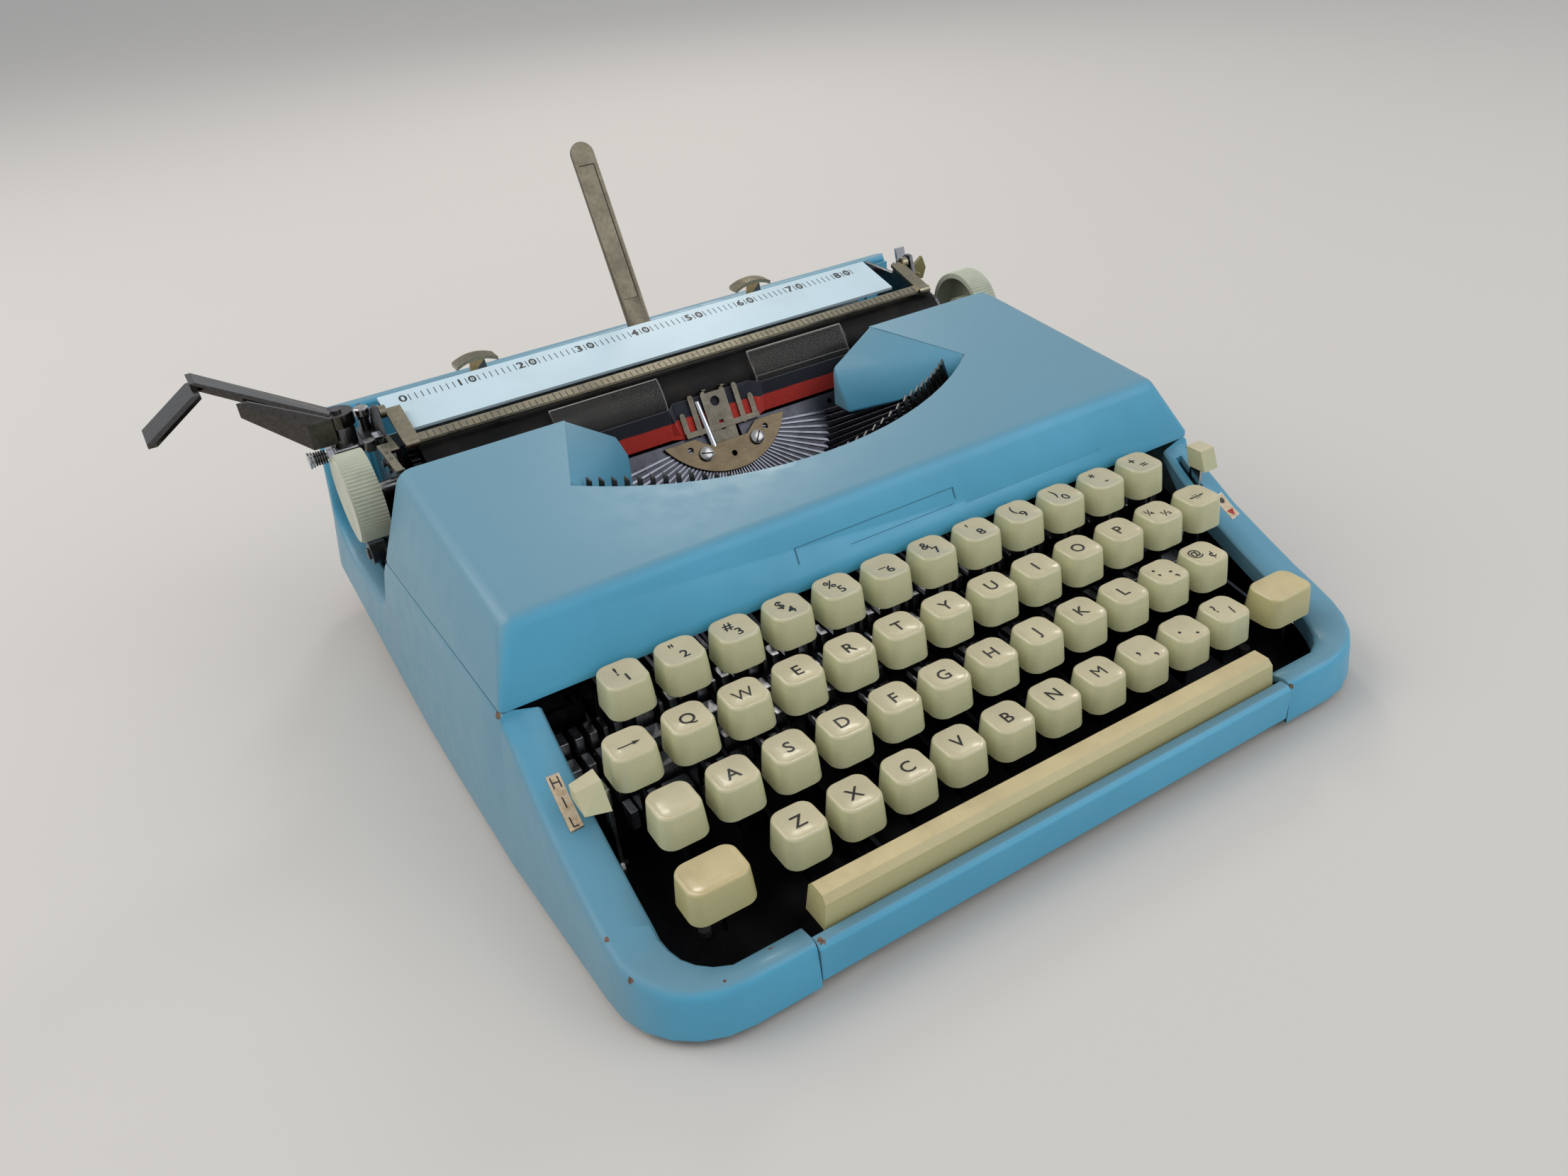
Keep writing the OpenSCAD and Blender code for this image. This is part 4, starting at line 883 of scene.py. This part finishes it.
def make_type_guide():
    """The shallow bronze moon in front of the segment, and the segment's bright fins around it."""
    moon = bmesh.new()
    turned(moon, 0, 14.6, -0.9, UP, 31.6, 1.4, segments=96)
    half, notch, holes = bmesh.new(), bmesh.new(), bmesh.new()
    block(half, -40, 40, 0, 60, -4, 4)
    wrapped(notch, [(x, y, z) for x, y in ((-15.5, 1), (-8.6, -4.2), (8.6, -4.2), (15.5, 1)) for z in (-4, 4)])
    for x, y in ((-17.5, -3.8), (17.5, -3.8), (0.0, -10.4)):
        turned(holes, x, y, -4, UP, 1.15, 8, segments=24)
    for cutter in (half, notch, holes):
        moon = cut_away(moon, cutter)
    put(moon.verts, moon, ON_BASKET)
    new_piece(moon, "type_moon", "type_basket", "bronze", ("type_guide",), bevel=0.15)
    bm = bmesh.new()
    for i in range(BARS):
        made = block(bm, -1, 1, -49.6, -16.5, -2.6, -0.55)
        for v in made:
            # Wider at the outer end.
            v.co.x *= 0.66 if v.co.y < -30 else 0.28
        put(made, bm, ON_BASKET @ turned_by(bar_turn(i), "Z"))
    new_piece(bm, "segment_fins", "type_basket", "fin_steel", bevel=0.1)


def make_type_slugs():
    """The type heads: a slanted tooth on the end of each bar, higher towards the sides."""
    bm = bmesh.new()
    # They stand on an arc about middle_y, out to widest degrees, and are at their highest from rise_by degrees on.
    middle_y, widest, rise_by = 264, 44, 22
    for i in range(BARS):
        a = bar_turn(i)
        h = math.radians(a * widest / FAN)
        out = min(1.0, abs(h) / math.radians(rise_by))
        r = 121 + 7 * out
        made = block(bm, -0.9, 0.9, -1.6, 1.6, 72.0, 78.0 + 8.6 * out * out)
        for v in made:
            if v.co.z > 75:
                v.co.y = v.co.y * 0.25 + 3.6 * out
                v.co.z += 0.6 if v.co.x * a > 0 else -1.2
        put(made, bm, moved(r * math.sin(h), middle_y - r * math.cos(h)) @ Matrix.Rotation(h, 4, "Z"))
    new_piece(bm, "type_slugs", "type_basket", "type_steel", bevel=0.15)


def make_selectors():
    """The two rim levers, whose plastic tabs are drawn smaller than the solids' are."""
    # Faces whose middle lies this far beyond the tab's root are plastic.
    slack = 0.05

    def lever(node, beyond, reshape):
        bm = node_bmesh(node)
        for face in bm.faces:
            face.material_index = 0 if beyond(face.calc_center_median()) > slack else 1
        tab = [v for v in bm.verts if beyond(v.co) > 0]
        reshape(tab)
        new_piece(bm, node + "_dressed", node, ["key_plastic", "bright_steel"], (node,), 30, bevel=0.7)

    def draw_in(tab):
        mid = sum((v.co for v in tab), Vector()) / len(tab)
        for v in tab:
            v.co.y = mid.y + (v.co.y - mid.y) * (0.72 if v.co.z > mid.z else 0.95)
            v.co.z = mid.z + 0.6 + (v.co.z - mid.z) * 0.66

    def lower(tab):
        foot = min(v.co.z for v in tab)
        for v in tab:
            v.co.x += 1.7 if v.co.x < 131 else 0.0
            v.co.z = foot + 1.6 + (v.co.z - foot) * 0.76

    lever("touch_selector", lambda c: -124.8 - c.x, draw_in)
    lever("colour_selector", lambda c: c.z - 53.1, lower)


# Cards on the rims in plan: front left, front right, rear left, rear right.
TOUCH_CARD = ((-136.5, 61.1), (-132.0, 61.6), (-136.0, 77.4), (-131.75, 77.6))
COLOUR_CARD = ((134.5, 64.2), (138.9, 64.6), (134.6, 74.0), (138.9, 74.2))


def make_labels():
    """The touch scale on the left rim and the two-colour mark on the right rim."""
    tree = surface_of("lower_shell")

    def label(name, corners, marks):
        bm = bmesh.new()
        drape(card(bm, corners, 0.0, 0), tree, 0.10)
        drape(card(bm, corners, 0.35, 1), tree, 0.16)
        for mark, x, y, turn, mat in marks:
            put(mark.verts, mark, moved(x, y, 60) @ turned_by(turn, "Z"))
            drape(mark.verts, tree, 0.22)
            add_bmesh(bm, mark, mat)
        new_piece(bm, name, "machine_frame", ["bright_steel", "label_card", "ink", "red_ink"])

    def round_mark(r, sides):
        mark = bmesh.new()
        bmesh.ops.create_circle(mark, cap_ends=True, segments=sides, radius=r)
        return mark

    letters = (("H", -133.9, 75.0), ("I", -134.1, 69.4), ("L", -134.3, 63.6))
    label("touch_scale", TOUCH_CARD, [(lettering(c, 4.6, 0.02), x, y, 0, 2) for c, x, y in letters])
    label("colour_mark", COLOUR_CARD, [(round_mark(1.05, 24), 136.6, 71.8, 0, 2),
                                       (round_mark(1.7, 3), 136.75, 66.9, 180, 3)])


# --- carriage


def on_axle(c, n):
    """1 on the bare ends of the platen's axle and 0 on its rubber."""
    rubber = -117.1 < c.x < 120.1 or (c - Vector((c.x, PLATEN_Y, PLATEN_Z))).length > 3.5
    return 0 if rubber else 1


def make_carriage():
    dressed("carriage_frame", "carriage", ["frame_steel", "khaki_plate"], 0.2,
            pick=lambda c, n: int(c.x < -125.5 and 89.3 < c.z < 91 and c.y < 245))
    dressed("paper_table", "carriage", "table_enamel", 0.2)
    dressed("platen", "platen", ["platen_rubber", "bright_steel"], 0.4, pick=on_axle)
    dressed("platen_knobs", "platen", "knob_plastic", 0.15)
    dressed("feed_rollers", "feed_rollers", "platen_rubber", 0.3)
    dressed("paper_bail", "paper_bail", "khaki_plate", 0.2)
    make_margin_stops()
    for node, finish, bevel in (("paper_arm", "arm_steel", 0.2), ("return_lever", "lever_chrome", 0.5),
                                ("line_selector", "chrome", 0.2), ("paper_release", "chrome", 0.2),
                                ("carriage_release", "olive_plastic", 0.4)):
        dressed(node, node, finish, bevel)
    make_carriage_end()
    make_bail_marks()
    make_ratchet()


def make_margin_stops():
    """Each stop's block and leaf, with fine ribs over its curved thumb piece."""
    for node, x in (("margin_stop_left", -76.0), ("margin_stop_right", 56.0)):
        bm = node_bmesh(node)
        bm.normal_update()
        for face in bm.faces:
            z = face.calc_center_median().z
            face.material_index = 0 if z > 95.3 else 2 if z > 91.5 else 1
        for k in range(-12, 13):
            rib = block(bm, -0.26, 0.26, 277.2, 284.6, 29.9, 30.3)
            put(rib, bm, moved(x, 0, 69.6) @ turned_by(1.75 * k, "Y"))
        for v in bm.verts:
            if v.co.z > 95:
                v.co.x = x + (v.co.x - x) * 0.78
                v.co.z -= 3.2
        new_piece(bm, node + "_dressed", node, ["khaki_plate", "frame_steel", "brass"], (node,), bevel=0.12)


def make_carriage_end():
    """Screws, washers, the spring and the nut on the left end of the carriage."""
    steel, dark, chrome, black = range(4)
    bm = bmesh.new()
    # The upright screw: z, radius, length, finish, sides and upper radius of each part.
    for z, r, length, mat, sides, top in ((84.6, 2.0, 7.0, dark, 24, 2.0), (91.2, 2.6, 1.4, dark, 6, 2.6),
                                          (92.6, 2.9, 2.6, steel, 32, 2.9), (95.2, 2.9, 0.5, steel, 32, 2.4)):
        turned(bm, -128.4, 262.0, z, UP, r, length, mat, sides, top)
    block(bm, -131.6, -126.6, 252, 266, 83.2, 86.4, dark)
    turned(bm, -131.2, 246.0, 84.4, UP, 2.2, 4.2, steel, 24)
    block(bm, -134.6, -126.4, 250.8, 254.2, 82.6, 85.6, dark)
    # The bolt under the lever with its washers, spring and nut: x, radius, length, finish and sides.
    parts = [(-153.0, 1.3, 19.0, steel, 20), (-153.4, 3.2, 0.8, chrome, 32), (-152.2, 3.0, 0.7, steel, 32)]
    parts += [(-151.0 + 0.9 * k, 2.7, 0.5, black, 28) for k in range(5)]
    parts += [(-146.3, 3.1, 2.4, chrome, 6), (-143.7, 3.2, 0.6, steel, 28)]
    for x, r, length, mat, sides in parts:
        turned(bm, x, 252.5, 84.4, ALONG_X, r, length, mat, sides)
    new_piece(bm, "carriage_end_fittings", "carriage", ["bright_steel", "frame_steel", "chrome", "black_steel"],
              bevel=0.15)


def make_bail_marks():
    """The paper bail's rivets and hinge sleeves, and the strokes along its edge."""
    bm = bmesh.new()
    for x in (-119.0, 115.6):
        rivet = turned(bm, 0, 0, 0.2, UP, 1.3, 1.0, 0, 24, 1.0)
        put(rivet, bm, moved(x, 236.5, 91.6) @ turned_by(17, "X"))
        turned(bm, x - 2.7, 229.4, 89.6, ALONG_X, 1.8, 5.4, 1, 24)
    slope = Matrix.Rotation(math.atan2(1.2, 4.2), 4, "X")
    for n in range(90):
        stroke = block(bm, -0.13, 0.13, 0.0, 3.0 if n % 5 else 3.8, 0.02, 0.09, 2)
        put(stroke, bm, moved(-112.6 + SCALE_STEP * n, 229.1, 90.3) @ slope)
    new_piece(bm, "bail_marks", "paper_bail", ["bright_steel", "khaki_plate", "ink"])


def make_ratchet():
    """The toothed wheel on the platen's left end, which the return lever drives."""
    left, r, wide, teeth = -121.4, 12.2, 3.6, 30
    bm = bmesh.new()
    turned(bm, left, PLATEN_Y, PLATEN_Z, ALONG_X, r, wide, segments=60)
    for k in range(teeth):
        tooth = block(bm, left, left + wide, -0.5, 0.5, r - 0.2, r + 1.2)
        put(tooth, bm, moved(0, PLATEN_Y, PLATEN_Z) @ turned_by(360 * k / teeth, "X"))
    new_piece(bm, "ratchet_wheel", "platen", "black_steel", bevel=0.15)


# The carriage scale: a step for each letter, and the line in plan on which its figures stand.
SCALE_STEP = 2.54
SCALE_START = -113.0
SCALE_Y = 256.4


def make_scale():
    """Figures and strokes of the carriage scale on the paper table, and the line settings' figures."""
    bm = bmesh.new()
    slope = math.atan2(6.2, 23.1)

    def on_table(x):
        z = 91.4 + (SCALE_Y - 238.3) * math.tan(slope) + 0.04
        return moved(x, SCALE_Y, z) @ Matrix.Rotation(slope, 4, "X")

    for n in range(83):
        x = SCALE_START + SCALE_STEP * n
        if n % 10 == 0:
            digits = str(n)
            for j, c in enumerate(digits):
                aside = 0 if len(digits) == 1 else (j - 0.5) * 2 * SCALE_STEP
                add_bmesh(bm, lettering(c, 5.9, -0.09), 0, on_table(x + aside) @ stretched(1.12, 1.0))
        if n:
            put(block(bm, -0.15, 0.15, -1.95, 1.95, -0.025, 0.025), bm, on_table(x))
    for c, y in (("1", 231.6), ("2", 225.6), ("0", 219.6)):
        add_bmesh(bm, lettering(c, 3.0), 0, moved(-129.5, y, 90.66))
    new_piece(bm, "carriage_scale", "carriage", "ink")


# --- studio

# Where the lamps look, in metres.
MACHINE = Vector((0.0, 0.0, 0.05))
# The photograph's viewpoint in millimetres, its axes and its lens, fitted to the key rows.
CAMERA_PLACE = Vector((-195.257, -185.700, 272.904))
CAMERA_RIGHT = Vector((0.85026019, -0.52061789, -0.07755398))
CAMERA_DOWN = Vector((-0.34176662, -0.43399102, -0.83357506))
CAMERA_AHEAD = Vector((0.40031636, 0.73526105, -0.5469351))
CAMERA_LENS = 27.1365


def make_stage():
    bm = bmesh.new()
    bmesh.ops.create_grid(bm, x_segments=1, y_segments=1, size=12.0)
    floor = in_scene("floor", mesh_of(bm, "floor"))
    plain("floor_card", (0.62, 0.585, 0.545), 0.8, gloss=(0.7, 0.8, 60.0))
    floor.data.materials.append(FINISH["floor_card"])

    world = bpy.data.worlds.new("studio")
    world.use_nodes = True
    back = world.node_tree.nodes["Background"]
    back.inputs["Color"].default_value = (0.86, 0.90, 0.95, 1.0)
    back.inputs["Strength"].default_value = 0.62
    bpy.context.scene.world = world
    lamp("window", (-1.1, 0.7, 1.3), size=1.3, power=15.0, tint=(1.0, 0.98, 0.95))
    lamp("fill", (0.9, -0.9, 1.1), size=1.2, power=7.0, tint=(0.94, 0.97, 1.0))
    lamp("glint", (0.62, 1.15, 0.92), size=0.28, power=3.2, tint=(1.0, 0.95, 0.88))
    bpy.context.scene.view_settings.view_transform = "Standard"


def lamp(name, place, size, power, tint):
    light = bpy.data.lights.new(name, "AREA")
    light.shape = "SQUARE"
    light.size = size
    light.energy = power
    light.color = tint
    obj = in_scene(name, light)
    obj.location = place
    obj.rotation_euler = (MACHINE - Vector(place)).to_track_quat("-Z", "Y").to_euler()


def make_camera():
    cam = bpy.data.cameras.new("photo_view")
    cam.sensor_width = 36.0
    cam.lens = CAMERA_LENS
    cam.clip_start = 0.01
    obj = in_scene("photo_view", cam)
    turn = Matrix((CAMERA_RIGHT, -CAMERA_DOWN, -CAMERA_AHEAD)).transposed().to_4x4()
    obj.matrix_world = Matrix.Translation(INTO_FRAME @ CAMERA_PLACE) @ turn
    bpy.context.scene.camera = obj


# --- add-on


class TypewriterLooks(bpy.types.PropertyGroup):
    """The colours of the machine."""

    case_colour: FloatVectorProperty(
        name="Case", description="Paint of the case", subtype="COLOR", default=(0.078, 0.375, 0.565), min=0, max=1)
    key_colour: FloatVectorProperty(
        name="Keys", description="Plastic of the key caps", subtype="COLOR", default=(0.56, 0.49, 0.315), min=0, max=1)
    knob_colour: FloatVectorProperty(
        name="Knobs", description="Plastic of the platen knobs", subtype="COLOR", default=(0.50, 0.52, 0.40),
        min=0, max=1)
    table_colour: FloatVectorProperty(
        name="Paper table", description="Enamel of the paper table", subtype="COLOR", default=(0.56, 0.70, 0.76),
        min=0, max=1)
    olive_colour: FloatVectorProperty(
        name="Carriage release", description="Plastic of the carriage release", subtype="COLOR",
        default=(0.22, 0.19, 0.08), min=0, max=1)


class TYPEWRITER_OT_finishes(bpy.types.Operator):
    """Make the paints, metals, plastics and cloth"""

    bl_idname = "typewriter.finishes"
    bl_label = "Finishes"

    def execute(self, context):
        make_finishes(context.scene.typewriter_looks)
        return {"FINISHED"}


class TYPEWRITER_OT_case(bpy.types.Operator):
    """Dress the case, its base and its feet"""

    bl_idname = "typewriter.case"
    bl_label = "Case"

    def execute(self, context):
        make_case()
        make_rear_wall()
        make_labels()
        return {"FINISHED"}


class TYPEWRITER_OT_frame_parts(bpy.types.Operator):
    """Dress the chassis, the ribbon and its guides"""

    bl_idname = "typewriter.frame_parts"
    bl_label = "Frame parts"

    def execute(self, context):
        make_frame_parts()
        return {"FINISHED"}


class TYPEWRITER_OT_keys(bpy.types.Operator):
    """Model the key caps with their legends and levers"""

    bl_idname = "typewriter.keys"
    bl_label = "Keys"

    def execute(self, context):
        make_keys()
        make_lever_guides()
        make_space_bar()
        make_selectors()
        return {"FINISHED"}


class TYPEWRITER_OT_basket(bpy.types.Operator):
    """Dress the segment, the type bars and the type guide"""

    bl_idname = "typewriter.basket"
    bl_label = "Type basket"

    def execute(self, context):
        make_basket()
        return {"FINISHED"}


class TYPEWRITER_OT_carriage(bpy.types.Operator):
    """Dress the carriage and everything on it"""

    bl_idname = "typewriter.carriage"
    bl_label = "Carriage"

    def execute(self, context):
        make_carriage()
        make_scale()
        return {"FINISHED"}


class TYPEWRITER_OT_stage(bpy.types.Operator):
    """Set up the floor, the light and the camera"""

    bl_idname = "typewriter.stage"
    bl_label = "Stage"

    def execute(self, context):
        make_camera()
        make_stage()
        return {"FINISHED"}


class TYPEWRITER_PT_panel(bpy.types.Panel):
    """The steps of the typewriter and its colours"""

    bl_idname = "TYPEWRITER_PT_panel"
    bl_label = "Typewriter"
    bl_space_type = "VIEW_3D"
    bl_region_type = "UI"
    bl_category = "Typewriter"

    def draw(self, context):
        for prop in TypewriterLooks.__annotations__:
            self.layout.prop(context.scene.typewriter_looks, prop)
        for step in STEPS:
            self.layout.operator(step.bl_idname)


STEPS = (TYPEWRITER_OT_stage, TYPEWRITER_OT_finishes, TYPEWRITER_OT_case, TYPEWRITER_OT_frame_parts,
         TYPEWRITER_OT_keys, TYPEWRITER_OT_basket, TYPEWRITER_OT_carriage)
CLASSES = (TypewriterLooks, *STEPS, TYPEWRITER_PT_panel)


def register():
    for c in CLASSES:
        bpy.utils.register_class(c)
    bpy.types.Scene.typewriter_looks = PointerProperty(type=TypewriterLooks)


def unregister():
    del bpy.types.Scene.typewriter_looks
    for c in reversed(CLASSES):
        bpy.utils.unregister_class(c)


def main():
    register()
    for step in STEPS:
        area, name = step.bl_idname.split(".")
        getattr(getattr(bpy.ops, area), name)()


if __name__ == "__main__":
    main()
